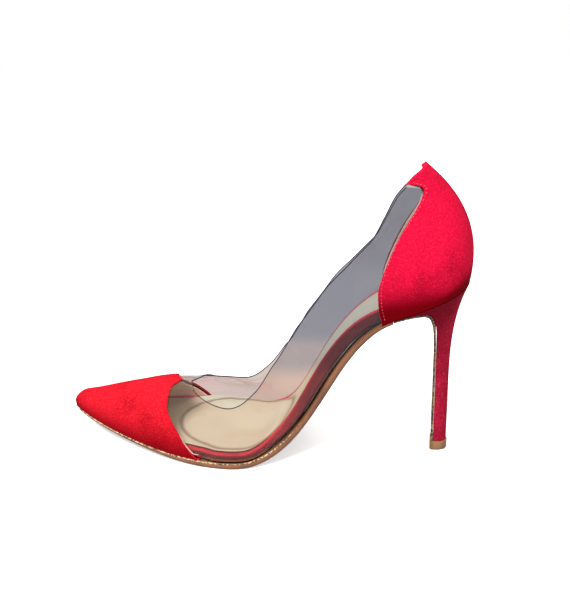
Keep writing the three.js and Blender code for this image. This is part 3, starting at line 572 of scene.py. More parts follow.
# Painted shade: the lit share is lowered where the surface looks down, so the colour turns deep there.
painted_lit_share = combined(suede_nap, "MULTIPLY", lit_share, nap["Painted light share"])
patch_and_painted_shade_colour = mixed(suede_nap, painted_lit_share, nap["Deep colour"], nap["Lit colour"])
with_fibres = mixed(suede_nap, light_fibres_with_painted_shade, patch_and_painted_shade_colour, nap["Fibre colour"])
suede_nap.links.new(with_fibres, nap_out.inputs["Colour"])
suede_nap.links.new(ramp(suede_nap, fibres, 0.2, 0.8, 0.88, 1.0), nap_out.inputs["Roughness"])
nap_height = combined(suede_nap, "ADD", fibres, combined(suede_nap, "MULTIPLY", patches, 0.3))
suede_nap.links.new(nap_height, nap_out.inputs["Height"])
print("group:", suede_nap.name)

# %% [markdown]
# Smooth leather shows the opposite: a closed surface with tiny pores between creased cells. A Voronoi
# texture measured to the cell's edge gives the creases, and a soft noise gives the stains of handling.

# %% The leather grain group
leather_grain, grain_in, grain_out = new_group(
    "leather grain",
    [("Place", "Vector", None), ("Hide colour", "Color", (0.6, 0.5, 0.4, 1)),
     ("Crease colour", "Color", (0.4, 0.3, 0.2, 1)), ("Grain size", "Float", 900.0),
     ("Stain size", "Float", 40.0), ("Stain colour", "Color", (0.5, 0.35, 0.25, 1)),
     ("Stain amount", "Float", 0.4)],
    [("Colour", "Color"), ("Roughness", "Float"), ("Height", "Float")],
)
grain = grain_in.outputs
cells = leather_grain.nodes.new("ShaderNodeTexVoronoi")
cells.feature = "DISTANCE_TO_EDGE"
leather_grain.links.new(grain["Place"], cells.inputs["Vector"])
leather_grain.links.new(grain["Grain size"], cells.inputs["Scale"])
crease = ramp(leather_grain, cells.outputs["Distance"], 0.0, 0.12)
stains = noise(leather_grain, grain["Place"], grain["Stain size"], 6.0, 0.6)
stain_share = combined(
    leather_grain, "MULTIPLY", ramp(leather_grain, stains, 0.42, 0.66), grain["Stain amount"])
open_share = ramp(leather_grain, crease, 0.0, 1.0, 0.75, 1.0)
hide = mixed(leather_grain, open_share, grain["Crease colour"], grain["Hide colour"])
stained = mixed(leather_grain, stain_share, hide, grain["Stain colour"])
leather_grain.links.new(stained, grain_out.inputs["Colour"])
leather_grain.links.new(ramp(leather_grain, stains, 0.3, 0.7, 0.42, 0.62), grain_out.inputs["Roughness"])
leather_grain.links.new(crease, grain_out.inputs["Height"])
print("group:", leather_grain.name)

# %% [markdown]
# The third effect is a speckle of two colours with soft or sharp grains. It serves the glittering line of
# glue and finish along the sole's edge, the granules of cork and the fibres of pressed board.

# %% The speckle group
speckle, speckle_in, speckle_out = new_group(
    "speckle",
    [("Place", "Vector", None), ("Ground colour", "Color", (0.2, 0.15, 0.1, 1)),
     ("Grain colour", "Color", (0.7, 0.5, 0.3, 1)), ("Grain size", "Float", 900.0)],
    [("Colour", "Color"), ("Mask", "Float"), ("Height", "Float")],
)
spots = speckle_in.outputs
grains = noise(speckle, spots["Place"], spots["Grain size"], 2.0, 0.5)
grain_mask = ramp(speckle, grains, 0.44, 0.58)
two_colours = mixed(speckle, grain_mask, spots["Ground colour"], spots["Grain colour"])
speckle.links.new(two_colours, speckle_out.inputs["Colour"])
speckle.links.new(grain_mask, speckle_out.inputs["Mask"])
speckle.links.new(grains, speckle_out.inputs["Height"])
print("group:", speckle.name)

# %% [markdown]
# The last effect is a fine oval line, the mask of the painted shade in the outline of the cushion that
# years of steps press into the sock. The place is measured from the oval's centre in units of its half
# axes, so its length is one on the line, and the mask falls off on both sides of it.

# %% The oval line group
oval_line, oval_in, oval_out = new_group(
    "oval line",
    [("Place", "Vector", None), ("Centre", "Vector", None), ("Half axes", "Vector", None),
     ("Line share", "Float", 0.03)],
    [("Mask", "Float")],
)


def vector_step(operation, a, b=None):
    node = oval_line.nodes.new("ShaderNodeVectorMath")
    node.operation = operation
    oval_line.links.new(a, node.inputs[0])
    if b is not None:
        oval_line.links.new(b, node.inputs[1])
    return node.outputs


from_centre = vector_step("SUBTRACT", oval_in.outputs["Place"], oval_in.outputs["Centre"])[0]
in_axes = vector_step("DIVIDE", from_centre, oval_in.outputs["Half axes"])[0]
oval_radius = vector_step("LENGTH", in_axes)["Value"]
off_oval = combined(oval_line, "ABSOLUTE", combined(oval_line, "SUBTRACT", oval_radius, 1.0), 0.0)
in_widths = combined(oval_line, "DIVIDE", off_oval, oval_in.outputs["Line share"])
nearness = combined(oval_line, "SUBTRACT", 1.0, in_widths)
oval_line.links.new(combined(oval_line, "MAXIMUM", nearness, 0.0), oval_out.inputs["Mask"])
print("group:", oval_line.name)

# %% [markdown]
# ## Materials
# Each material takes one of the shared groups, gives it its own colours and sizes, and feeds a Principled
# shader. Values that are the same all over, such as sheen, are set on the shader itself.

# %% One builder for materials that use a group


def grouped_material(name, group, values, bump, distance, shader_values, painted_shade_ramp=None):
    material = bpy.data.materials.new(name)
    material.use_nodes = True
    tree = material.node_tree
    shader = tree.nodes["Principled BSDF"]
    place = tree.nodes.new("ShaderNodeTexCoord").outputs["Object"]
    effect = tree.nodes.new("ShaderNodeGroup")
    effect.node_tree = group
    tree.links.new(place, effect.inputs["Place"])
    for label, value in values.items():
        effect.inputs[label].default_value = value
    tree.links.new(effect.outputs["Colour"], shader.inputs["Base Color"])
    if "Roughness" in effect.outputs:
        tree.links.new(effect.outputs["Roughness"], shader.inputs["Roughness"])
    # Painted shade: a ramp on the height of the surface normal darkens faces that look down, whatever the
    # lamps do.
    if painted_shade_ramp:
        facing = tree.nodes.new("ShaderNodeSeparateXYZ")
        tree.links.new(tree.nodes.new("ShaderNodeNewGeometry").outputs["Normal"], facing.inputs["Vector"])
        tree.links.new(ramp(tree, facing.outputs["Z"], *painted_shade_ramp), effect.inputs["Painted light share"])
    relief = tree.nodes.new("ShaderNodeBump")
    relief.inputs["Strength"].default_value = bump
    relief.inputs["Distance"].default_value = distance
    tree.links.new(effect.outputs["Height"], relief.inputs["Height"])
    tree.links.new(relief.outputs["Normal"], shader.inputs["Normal"])
    for label, value in shader_values.items():
        shader.inputs[label].default_value = value
    return material


print("shared groups to build on:", [suede_nap.name, leather_grain.name, speckle.name, oval_line.name])

# %% [markdown]
# Suede that faces the ground gets painted shade: its colour goes towards the deep colour. The painted
# light share rises from faces that look down to faces that look sideways or up.

# %% Red suede for the cap, the counter and the heel
SUEDE_SHEEN = {"Sheen Weight": 0.08, "Sheen Roughness": 0.4, "Sheen Tint": rgb(255, 60, 90),
               "Specular IOR Level": 0.05}
SUEDE_FIBRES, SUEDE_BUMP, SUEDE_RELIEF = 1300.0, 0.7, 0.0008


def red_suede(name, deep, lit, fibre, patch_size, contrast, painted_shade_ramp):
    values = {"Deep colour": rgb(*deep), "Lit colour": rgb(*lit), "Fibre colour": rgb(*fibre),
              "Patch size": patch_size, "Fibre size": SUEDE_FIBRES, "Fibre contrast": contrast}
    return grouped_material(name, suede_nap, values, SUEDE_BUMP, SUEDE_RELIEF, SUEDE_SHEEN, painted_shade_ramp)


# The last four numbers of each red are its painted shade ramp: normal heights from and to, and the light
# share at each.
cap_suede = red_suede(
    "toe cap suede", (124, 0, 8), (216, 26, 42), (250, 90, 104), 55.0, 0.34, (-0.1, 0.7, 0.15, 1.0))
counter_suede = red_suede(
    "counter suede", (116, 0, 8), (228, 18, 62), (250, 96, 120), 42.0, 0.26, (-0.14, 0.07, 0.0, 1.0))
heel_suede = red_suede(
    "heel suede", (104, 4, 22), (190, 28, 60), (232, 110, 136), 48.0, 0.4, (-0.6, -0.1, 0.2, 1.0))
rim_suede = red_suede(
    "insole rim suede", (104, 12, 26), (206, 50, 66), (230, 100, 110), 70.0, 0.3, (0.0, 0.8, 0.1, 1.0))
print("four reds of suede")

# %% [markdown]
# Three leathers share the grain group. The lining is pale and clean, the sock is duller where the foot
# has polished it, and the sole is tan with the dark stains of wear.

# %% Nude leather inside, tan leather under the foot
LEATHER_GLOSS, LEATHER_RELIEF = {"Specular IOR Level": 0.35}, 0.0003


def smooth_leather(name, hide_colour, crease_colour, stain_colour, sizes, stain_amount, bump):
    values = {"Hide colour": rgb(*hide_colour), "Crease colour": rgb(*crease_colour),
              "Stain colour": rgb(*stain_colour), "Grain size": sizes[0], "Stain size": sizes[1],
              "Stain amount": stain_amount}
    return grouped_material(name, leather_grain, values, bump, LEATHER_RELIEF, LEATHER_GLOSS)


lining_leather = smooth_leather(
    "lining leather", (248, 230, 212), (220, 196, 174), (200, 164, 138), (700.0, 30.0), 0.5, 0.2)
sock_leather = smooth_leather(
    "sock leather", (190, 187, 168), (176, 168, 147), (180, 164, 143), (1100.0, 26.0), 0.55, 0.12)
sole_leather = smooth_leather(
    "sole leather", (146, 98, 70), (108, 70, 48), (88, 60, 48), (600.0, 45.0), 0.5, 0.2)
print("three leathers")

# %% [markdown]
# Everything with two colours of grain uses the speckle group: board, cork, foam and plastic, but also
# steel, whose grains are so close in colour that they only break up its shine.

# %% Hidden and small things


def speckled(name, ground, grain_colour, size, bump, distance, shader_values):
    values = {"Ground colour": rgb(*ground), "Grain colour": rgb(*grain_colour), "Grain size": size}
    return grouped_material(name, speckle, values, bump, distance, shader_values)


board_fibre = speckled(
    "fibre board", (150, 126, 98), (190, 166, 130), 700.0, 0.3, 0.0003, {"Roughness": 0.9})
cork_grain = speckled(
    "cork", (96, 66, 42), (168, 126, 84), 420.0, 0.5, 0.0005, {"Roughness": 0.95})
cushion_foam = speckled(
    "cushion foam", (214, 206, 184), (240, 236, 220), 1400.0, 0.4, 0.0004, {"Roughness": 0.95})
moulded_plastic = speckled(
    "moulded plastic", (40, 38, 38), (54, 52, 52), 900.0, 0.1, 0.0002, {"Roughness": 0.55})
fastener_steel = speckled(
    "fastener steel", (140, 144, 150), (176, 180, 186), 600.0, 0.08, 0.0001,
    {"Roughness": 0.35, "Metallic": 1.0})
tip_plastic = speckled(
    "top piece plastic", (128, 92, 56), (146, 110, 72), 260.0, 0.12, 0.0002,
    {"Roughness": 0.42, "Specular IOR Level": 0.45})
edge_glitter = speckled(
    "sole edge finish", (70, 48, 40), (226, 196, 150), 1100.0, 0.6, 0.0004,
    {"Roughness": 0.3, "Specular IOR Level": 0.7})
breast_leather = speckled(
    "breast leather", (54, 36, 28), (150, 116, 78), 620.0, 0.4, 0.0003, {"Roughness": 0.5})
stitch_thread = speckled(
    "stitching thread", (190, 40, 66), (232, 104, 124), 1500.0, 0.4, 0.0002, {"Roughness": 0.7})
print("materials for board, cork, foam, plastic, steel, edge and thread")

# %% [markdown]
# ## Clear vinyl
# The vamp is a clear sheet of soft vinyl. The Principled shader with full transmission bends light as a
# real sheet does, and since the sheet has a thickness it brightens and darkens at its folds by itself.
# The tint is painted and is a soft blend that rises with the height: the forefoot is nearly colourless
# with a warm painted reflection of the sock, and the quarters are a smoky grey that stands in for a grey
# backdrop seen through the sheet. The cut edge is another matter: light travels inside a clear sheet and
# gets trapped there, so a vinyl edge looks like a thin dark violet line, and it gets a material of its
# own. A path tracer takes a glass sheet for a wall when it looks for the lamps, so for those shadow rays
# alone the sheet is plain transparent and the inside of the shoe is lit as it would be.

# %% Vinyl
clear_vinyl = bpy.data.materials.new("clear vinyl")
clear_vinyl.use_nodes = True
vinyl_tree = clear_vinyl.node_tree
vinyl_shader = vinyl_tree.nodes["Principled BSDF"]
vinyl_place = vinyl_tree.nodes.new("ShaderNodeTexCoord").outputs["Object"]
vinyl_split = vinyl_tree.nodes.new("ShaderNodeSeparateXYZ")
vinyl_tree.links.new(vinyl_place, vinyl_split.inputs["Vector"])
# Painted, by height: low down a warm reflection of the sock, higher up the grey of a backdrop seen through.
BACKDROP_GREY_FROM, BACKDROP_GREY_TO = 0.048, 0.06
CLEAR_WITH_WARM_REFLECTION, BACKDROP_GREY_TINT = rgb(250, 234, 224), rgb(204, 205, 211)
backdrop_grey_share = ramp(vinyl_tree, vinyl_split.outputs["Z"], BACKDROP_GREY_FROM, BACKDROP_GREY_TO)
painted_vinyl_tint = mixed(vinyl_tree, backdrop_grey_share, CLEAR_WITH_WARM_REFLECTION, BACKDROP_GREY_TINT)
vinyl_tree.links.new(painted_vinyl_tint, vinyl_shader.inputs["Base Color"])
vinyl_shader.inputs["Roughness"].default_value = 0.03
vinyl_shader.inputs["IOR"].default_value = 1.45
vinyl_shader.inputs["Transmission Weight"].default_value = 1.0
vinyl_ripple = vinyl_tree.nodes.new("ShaderNodeBump")
vinyl_ripple.inputs["Strength"].default_value = 0.12
vinyl_ripple.inputs["Distance"].default_value = 0.001
vinyl_tree.links.new(noise(vinyl_tree, vinyl_place, 70.0, 2.0), vinyl_ripple.inputs["Height"])
vinyl_tree.links.new(vinyl_ripple.outputs["Normal"], vinyl_shader.inputs["Normal"])
lamp_way = vinyl_tree.nodes.new("ShaderNodeLightPath").outputs["Is Shadow Ray"]
vinyl_pass = vinyl_tree.nodes.new("ShaderNodeBsdfTransparent")
vinyl_pass.inputs["Color"].default_value = (0.97, 0.965, 0.965, 1)
vinyl_mix = vinyl_tree.nodes.new("ShaderNodeMixShader")
vinyl_tree.links.new(lamp_way, vinyl_mix.inputs[0])
vinyl_tree.links.new(vinyl_shader.outputs[0], vinyl_mix.inputs[1])
vinyl_tree.links.new(vinyl_pass.outputs[0], vinyl_mix.inputs[2])
vinyl_tree.links.new(vinyl_mix.outputs[0], vinyl_tree.nodes["Material Output"].inputs["Surface"])

vinyl_edge = speckled("vinyl cut edge", (44, 26, 50), (66, 46, 70), 500.0, 0.1, 0.0002, {"Roughness": 0.25})
print("clear vinyl and its cut edge")

# %% [markdown]
# ## The upper
# The layers of the upper are grids on the skin. A column of points climbs one rib; below the feather line
# it turns in under the foot, where the real upper is pulled over the last and glued. Each layer keeps the
# same rows and its own depth, so the layers lie on each other like pages.

# %% Thicknesses and the edges of the pieces
SUEDE, CLEAR_SHEET, STIFFENER, LINING = 0.9, 0.8, 0.8, 0.7
GAP, LINING_GAP = 0.3, 0.65
LASTING_MARGIN, LAP, STEP_RUN = 8.0, 6.0, 6.7
MIDDLE_LAYER = SUEDE + GAP
LINING_LAYER = MIDDLE_LAYER + max(CLEAR_SHEET, STIFFENER) + LINING_GAP
LINER_TOTAL = LINING_LAYER + LINING + LINING_GAP
FULL_BASE = GAP + MIDDLE_LAYER + CLEAR_SHEET + GAP
CAP_SKEW = 0.035
cap_edge_base = through((0, 0.85), (0.1, 0.82), (0.25, 0.772), (0.4, 0.73), (0.55, 0.705), (0.75, 0.704),
                        (1, 0.748))
counter_edge = through((0, 2.5), (0.2, 2.48), (0.4, 2.51), (0.55, 2.62), (0.65, 2.8), (0.72, 3.02),
                       (0.81, 3.25), (0.88, 3.35), (0.94, 3.24), (1, 3.1))


def cap_edge(h, side):
    return cap_edge_base(h) - side * CAP_SKEW * (1 - h)


def curve_length(k, steps=200):
    samples = [bezier(outline[k], i / steps) for i in range(steps + 1)]
    return sum((b - a).length for a, b in zip(samples, samples[1:]))


outline_lengths = [curve_length(k) for k in range(BACK)]


def lap_at(u):
    return LAP / outline_lengths[min(int(u), BACK - 1)]


STEP_START = outline_at(cap_edge(0, -1), -1).x + 1
STEP_END = STEP_START + STEP_RUN * MIDDLE_LAYER


def stack_share(x):
    return 1 - smoothstep(x, STEP_START, STEP_END) + smoothstep(x, TREAD_END_X + 4, TREAD_END_X + 22)


def board_base(x):
    return FULL_BASE - MIDDLE_LAYER * (1 - stack_share(x))


print("outline quarters are", [round(v) for v in outline_lengths], "mm long")

# %% [markdown]
# The margin turns in under the foot by a fixed width, or by less where the toe is too narrow for it. A
# shell has two such grids, and the inner one is moved in by the thickness of its sheet.

# %% Columns of points up the ribs
ROWS = 30
MARGIN_SHARE, MARGIN_TOE, MARGIN_SEAT = 0.45, 14, 16
TOE_CROWDING = 1.35
row_heights = [i / ROWS for i in range(ROWS + 1)]


def margin_point(u, side, depth, floor):
    foot = skin(u, side, 0, depth)
    middle_x = clamp(foot.x, TOE_X + MARGIN_TOE, SEAT_BACK - MARGIN_SEAT)
    inwards = Vector((middle_x - foot.x, swing(middle_x) - foot.y, 0))
    point = foot + inwards.normalized() * min(LASTING_MARGIN, MARGIN_SHARE * inwards.length)
    height, normal = bottom_at(point.x)
    return Vector((point.x, point.y, height)) + normal * floor(point.x)


def column(position, side, depth, with_margin, floor):
    points = []
    for h in row_heights:
        point = skin(position(h), side, h, depth)
        height, normal = bottom_at(clamp(point.x, TOE_X, SEAT_BACK))
        short = floor(point.x) - (point.z - height) * normal.z
        points.append(point + normal * short if short > 0 else point)
    return [margin_point(position(0), side, depth, floor)] + points if with_margin else points


def toe_shell(edge, thickness, depth, columns, with_margin, base, tip=0.0):
    def grid(extra):
        def floor(x):
            return base + (extra if with_margin else 0)

        rows = []
        for i in range(columns + 1):
            share = lerp(tip, 1, (i / columns) ** TOE_CROWDING)
            near = column(lambda h: share * edge(h, -1), -1, depth + extra, with_margin, floor)
            far = column(lambda h: share * edge(h, 1), 1, depth + extra, with_margin, floor)
            rows.append(near + far[::-1][1:])
        return rows

    return shell(grid(0), grid(thickness), lambda rim, k: rim == "start" and tip == 0)


def counter_shell(edge, thickness, depth, columns, with_margin, base):
    def grid(extra):
        def floor(x):
            return base + (extra if with_margin else 0)

        def side_column(i, side):
            return column(lambda h: lerp(edge(h), BACK, i / columns), side, depth + extra, with_margin, floor)

        near = [side_column(i, -1) for i in range(columns + 1)]
        far = [side_column(i, 1) for i in range(columns + 1)]
        return near + far[::-1][1:]

    return shell(grid(0), grid(thickness))


print(ROWS + 1, "points up each rib")

# %% [markdown]
# The toe cap is one piece of suede folded over the point of the last. Its rear edge sweeps forward from
# the sole and meets the throat of the shoe. Under it lies the nude lining that shows where one looks
# into the toe.

# %% Toe cap and its lining
LINING_TIP, LINING_SETBACK = 0.16, 0.01
CAP_COLUMNS, LINING_COLUMNS, COUNTER_COLUMNS = 44, 36, 40
make_piece("toe_cap_suede", toe_shell(cap_edge, SUEDE, 0, CAP_COLUMNS, True, GAP), [cap_suede],
           ["toe_cap"])
make_piece(
    "toe_lining_leather",
    toe_shell(lambda h, side: cap_edge(h, side) - LINING_SETBACK, LINING, LINING_LAYER, LINING_COLUMNS, False,
              FULL_BASE, LINING_TIP),
    [lining_leather], ["toe_lining"])

# %% [markdown]
# The counter wraps the heel from one side to the other. Its front edge leans back as it rises and hooks
# forward into a small tab at the top line, where the vinyl is caught. It is lined with the same nude
# leather.

# %% Counter and its lining
make_piece(
    "counter_suede", counter_shell(counter_edge, SUEDE, 0, COUNTER_COLUMNS, True, GAP),
    [counter_suede], ["counter_cover"])
make_piece(
    "counter_lining_leather",
    counter_shell(counter_edge, LINING, LINING_LAYER, LINING_COLUMNS, False, FULL_BASE),
    [lining_leather], ["counter_lining"])

# %% [markdown]
# The clear vamp is one sheet: two side panels joined by a narrow bridge across the throat. The two halves
# are built as mirror grids and sewn together along the ridge by merging the points that meet there. The
# rim's faces carry the dark material of the cut edge.

# %% Clear vamp
BRIDGE_COLUMNS, PANEL_COLUMNS = 6, 60


def vamp_rear_edge(h):
    return counter_edge(h) + lap_at(2.5) * (lerp(1, 0.35, (h - 0.8) / 0.2) if h > 0.8 else 1)


def vamp_half(side):
    def position(i):
        def value(h):
            front = cap_edge(h, side) - lap_at(0)
            if i <= BRIDGE_COLUMNS:
                return lerp(front, THROAT, i / BRIDGE_COLUMNS)
            return lerp(THROAT, vamp_rear_edge(h), (i - BRIDGE_COLUMNS) / PANEL_COLUMNS)

        return value

    def grid(extra):
        def floor(x):
            return GAP + MIDDLE_LAYER * stack_share(x) + extra

        return [column(position(i), side, MIDDLE_LAYER + extra, True, floor)
                for i in range(BRIDGE_COLUMNS + PANEL_COLUMNS + 1)]

    return shell(grid(0), grid(CLEAR_SHEET), lambda rim, k: rim == "top" and k < BRIDGE_COLUMNS)


def sewn(near, far):
    shift = len(near[0])
    moved = [tuple(i + shift for i in face) for face in far[1]]
    split = far[2]
    faces = near[1][:near[2]] + moved[:split] + near[1][near[2]:] + moved[split:]
    return near[0] + far[0], faces, near[2] + split


make_piece(
    "clear_vamp_vinyl", sewn(vamp_half(-1), vamp_half(1)), [clear_vinyl, vinyl_edge],
    ["clear_vamp"])

# %% [markdown]
# ## The sole
# Between the foot and the floor lie, from the top: a thin sock of nude leather over a small cushion, a
# suede strip folded round the edge of the insole board, the board itself, and the outsole. The stations
# along the shoe crowd together at the toe, where the outline turns fast.

# %% Stations and heights of the bottom layers
BOARD_FRONT, BOARD_WAIST = 1.3, 4.8
RIM, RIM_LIP, SOCK, PAD = 0.8, 2.2, 0.7, 1.0
OUTSOLE_CROWN, OUTSOLE_END = 2.6, 1.2
HEEL_FRONT = position_at(SEAT_FRONT_X)
TOE_STATIONS, LENGTH_STATIONS = 26, 110
stations = [(i / TOE_STATIONS) ** 1.6 for i in range(TOE_STATIONS + 1)]
stations += [lerp(1, BACK, i / LENGTH_STATIONS) for i in range(1, LENGTH_STATIONS + 1)]


def waist_share(x):
    return smoothstep(x, TREAD_END_X, WAIST_X) * (1 - 0.45 * smoothstep(x, WAIST_X + 10, SEAT_FRONT_X + 12))


def board_top(x):
    return board_base(x) + lerp(BOARD_FRONT, BOARD_WAIST, waist_share(x))


def outsole_thickness(x, s):
    full = OUTSOLE_EDGE + OUTSOLE_CROWN * waist_share(x) * (1 - s * s)
    return lerp(full, OUTSOLE_END, smoothstep(x, SEAT_FRONT_X - 24, SEAT_FRONT_X - 2))


def raised(point, height):
    ground, normal = bottom_at(point.x)
    return Vector((point.x, point.y, ground)) + normal * height


print(len(stations), "stations from toe to heel")

# %% [markdown]
# The outsole is a thin leather sole whose edge is trimmed round. Each station is a closed section: flat
# on top, round at the edges and slightly crowned below the waist.

# %% Outsole
EDGE_PROFILE = [(0.3, 0.0), (0.05, -0.12), (0.0, -0.35), (0.05, -0.62), (0.35, -0.88), (1.0, -1.0)]
UNDERSIDE = 12
sole_setback = GAP + OUTSOLE_END * math.sin(SEAT_SLOPE)
SOLE_END = position_at(SEAT_FRONT_X - sole_setback)


def outsole_section(u):
    toe_share = 1 - smoothstep(u, 0.5, 0.9)
    tuck = 1.1 * toe_share - SOLE_OVERHANG
    thin = 1 - 0.3 * toe_share

    def edge(side):
        points = []
        for inset, height in EDGE_PROFILE:
            point = outline_at(u, side, inset + tuck)
            points.append(raised(point, thin * height * outsole_thickness(point.x, 1)))
        return points

    near, far = edge(-1), edge(1)
    under = []
    for i in range(1, UNDERSIDE):
        s = 2 * i / UNDERSIDE - 1
        point = near[-1].lerp(far[-1], i / UNDERSIDE)
        middle_x = lerp(near[-1].x, far[-1].x, 0.5)
        point = Vector((outline_at(u, -1, EDGE_PROFILE[-1][0] + tuck).x, point.y, 0))
        under.append(raised(point, -thin * outsole_thickness(middle_x, s)))
    top = [near[0].lerp(far[0], i / UNDERSIDE) for i in range(UNDERSIDE - 1, 0, -1)]
    return near + under + far[::-1] + top


outsole_stations = [u for u in stations if u < SOLE_END - 0.01] + [SOLE_END]
make_piece(
    "outsole_leather", loft([outsole_section(u) for u in outsole_stations]), [sole_leather],
    ["outsole"])

# %% [markdown]
# The suede strip round the insole board is a ring: it covers the board's edge and folds a couple of
# millimetres over its top. Its corners are rounded by extra points in the section.

# %% Insole rim
RIM_INSET = LINER_TOTAL


def rim_section(u, side):
    def spot(inset, height):
        return raised(outline_at(u, side, inset), height(outline_at(u, side, inset).x))

    def top(drop):
        return lambda x: board_top(x) + GAP + RIM - drop

    inner = RIM_INSET + RIM + GAP + RIM_LIP
    under = RIM_INSET + RIM
    return [
        spot(RIM_INSET, board_base), spot(RIM_INSET, top(1.0)), spot(RIM_INSET + 0.1, top(0.45)),
        spot(RIM_INSET + 0.4, top(0.1)), spot(RIM_INSET + 0.9, top(0)), spot(inner - 0.5, top(0)),
        spot(inner - 0.1, top(0.15)), spot(inner, top(0.4)), spot(inner, top(RIM)),
        spot(under, top(RIM)), spot(under, board_base),
    ]


rim_sections = [rim_section(u, -1) for u in stations] + [rim_section(u, 1) for u in stations[1:-1][::-1]]
make_piece("insole_rim_suede", loft(rim_sections, ring=True), [rim_suede], ["insole_rim"])

# %% [markdown]
# A thin cushion lies under the ball of the foot, and the leather sock is stretched over it. The cushion
# is a crowned lens with a soft edge. On the sock it shows as a raised oval with a pressed line round it.

# %% Forefoot cushion
PAD_CENTRE_X, PAD_HALF_LENGTH, PAD_HALF_WIDTH = BALL_X - 6, 28.0, 28.0
PAD_CENTRE_Y, PAD_LIFT = swing(PAD_CENTRE_X), MIDDLE_LAYER / 2
CUSHION_RINGS, CUSHION_SPOKES = 12, 48


def cushion_point(r, turn, upper):
    x = PAD_CENTRE_X + PAD_HALF_LENGTH * r * math.cos(turn)
    y = PAD_CENTRE_Y + PAD_HALF_WIDTH * r * math.sin(turn)
    crown = PAD * math.sqrt(max(0.0, 1 - r**6))
    return raised(Vector((x, y, 0)), board_top(x) + PAD_LIFT + (crown if upper else 0.0))


def disc_rings(upper):
    return [[cushion_point(i / CUSHION_RINGS, 2 * math.pi * k / CUSHION_SPOKES, upper)
             for k in range(CUSHION_SPOKES)] for i in range(1, CUSHION_RINGS + 1)]


cushion_sections = disc_rings(True) + disc_rings(False)[::-1][1:]
cushion = make_piece("forefoot_cushion", loft(cushion_sections), [cushion_foam], ["forefoot_pad"])

# %% [markdown]
# The sock is one grid from edge to edge. It climbs over the cushion with a smooth step, and a narrow
# groove with the profile of a bell curve is pressed into its upper side only.

# %% Sock with the pressed outline of the cushion
PAD_BORDER, PAD_FADE = 6, 1.25
SOCK_INSET = RIM_INSET + RIM + RIM_LIP - 0.35
SOCK_ACROSS = 64
PRESSED_CENTRE_X, PRESSED_HALF_LENGTH, PRESSED_HALF_WIDTH = BALL_X, 34.0, 30.0
PRESSED_WIDTH, PRESSED_DEPTH = 0.03, 0.5


def pad_radius(x, y, border):
    along, across = x - PAD_CENTRE_X, y - PAD_CENTRE_Y
    return math.hypot(along / (PAD_HALF_LENGTH + border), across / (PAD_HALF_WIDTH + border))


def pad_share(x, y):
    return 1 - smoothstep(pad_radius(x, y, PAD_BORDER), 1, PAD_FADE)


def sock_base(x, y):
    return board_top(x) + GAP + (PAD + PAD_LIFT) * pad_share(x, y)


def pressed(x, y):
    along, across = x - PRESSED_CENTRE_X, y - PAD_CENTRE_Y
    radius = math.hypot(along / PRESSED_HALF_LENGTH, across / PRESSED_HALF_WIDTH)
    off_line = (radius - 1) / PRESSED_WIDTH
    return PRESSED_DEPTH * math.exp(-off_line * off_line)


def sock_grid(upper):
    rows = []
    for u in stations:
        near, far = outline_at(u, -1, SOCK_INSET), outline_at(u, 1, SOCK_INSET)
        row = []
        for j in range(SOCK_ACROSS + 1):
            point = near.lerp(far, j / SOCK_ACROSS)
            height = sock_base(point.x, point.y) + (SOCK - pressed(point.x, point.y) if upper else 0)
            row.append(raised(point, height))
        rows.append(row)
    return rows


make_piece(
    "sock_leather", shell(sock_grid(True), sock_grid(False)), [sock_leather], ["sock_lining"])

# %% [markdown]
# The pressed line is painted darker than the leather round it, as painted shade in the groove. The mask
# of the oval is flat in height, which lets the line follow the sock wherever it rises.

# %% Shade in the pressed line
PRESSED_SHADE, PRESSED_SHADE_COLOUR = 0.75, rgb(108, 80, 64)
sock_tree = sock_leather.node_tree
painted_groove_mask = sock_tree.nodes.new("ShaderNodeGroup")
painted_groove_mask.node_tree = oval_line
flat_place = sock_tree.nodes.new("ShaderNodeVectorMath")
flat_place.operation = "MULTIPLY"
flat_place.inputs[1].default_value = (1, 1, 0)
sock_tree.links.new(sock_tree.nodes.new("ShaderNodeTexCoord").outputs["Object"], flat_place.inputs[0])
sock_tree.links.new(flat_place.outputs[0], painted_groove_mask.inputs["Place"])
oval_place = placed(Vector((PRESSED_CENTRE_X, PAD_CENTRE_Y, 0)))
painted_groove_mask.inputs["Centre"].default_value = (oval_place[0], oval_place[1], 0)
painted_groove_mask.inputs["Half axes"].default_value = (PRESSED_HALF_LENGTH / 1000, PRESSED_HALF_WIDTH / 1000, 1)
painted_groove_mask.inputs["Line share"].default_value = 2 * PRESSED_WIDTH
sock_base_colour = sock_tree.nodes["Principled BSDF"].inputs["Base Color"]
plain_sock = sock_base_colour.links[0].from_socket
# Painted shade in the groove of the pressed line.
painted_groove_shade = combined(sock_tree, "MULTIPLY", painted_groove_mask.outputs["Mask"], PRESSED_SHADE)
sock_tree.links.new(mixed(sock_tree, painted_groove_shade, plain_sock, PRESSED_SHADE_COLOUR), sock_base_colour)
print("pressed line", 2 * PRESSED_HALF_LENGTH, "by", 2 * PRESSED_HALF_WIDTH, "mm")

# %% [markdown]
# ## The heel
# A stiletto heel is a plastic core in a suede skin, with a strip of leather down its front, the breast.
# The outside is lofted from the seat to the stem. The hollow at the front is cut away with a Boolean
# modifier, which is how a heel block is shaped too: first turned, then cut.

# %% Heel block
TOP_PIECE_HEIGHT = 5.5
STEM_DEPTH, STEM_WIDTH = 8.6, 9.4
HEEL_FLARE_HEIGHT, HEEL_FLARE_POWER = 60.0, 2.8
STEM_BACK_X = STEM_DEPTH / 2 - 0.6
STEM_FRONT_X = STEM_BACK_X - STEM_DEPTH
HEEL_AROUND, HEEL_STEPS = 32, 44


def seat_z(x):
    return bottom_at(x)[0] - GAP


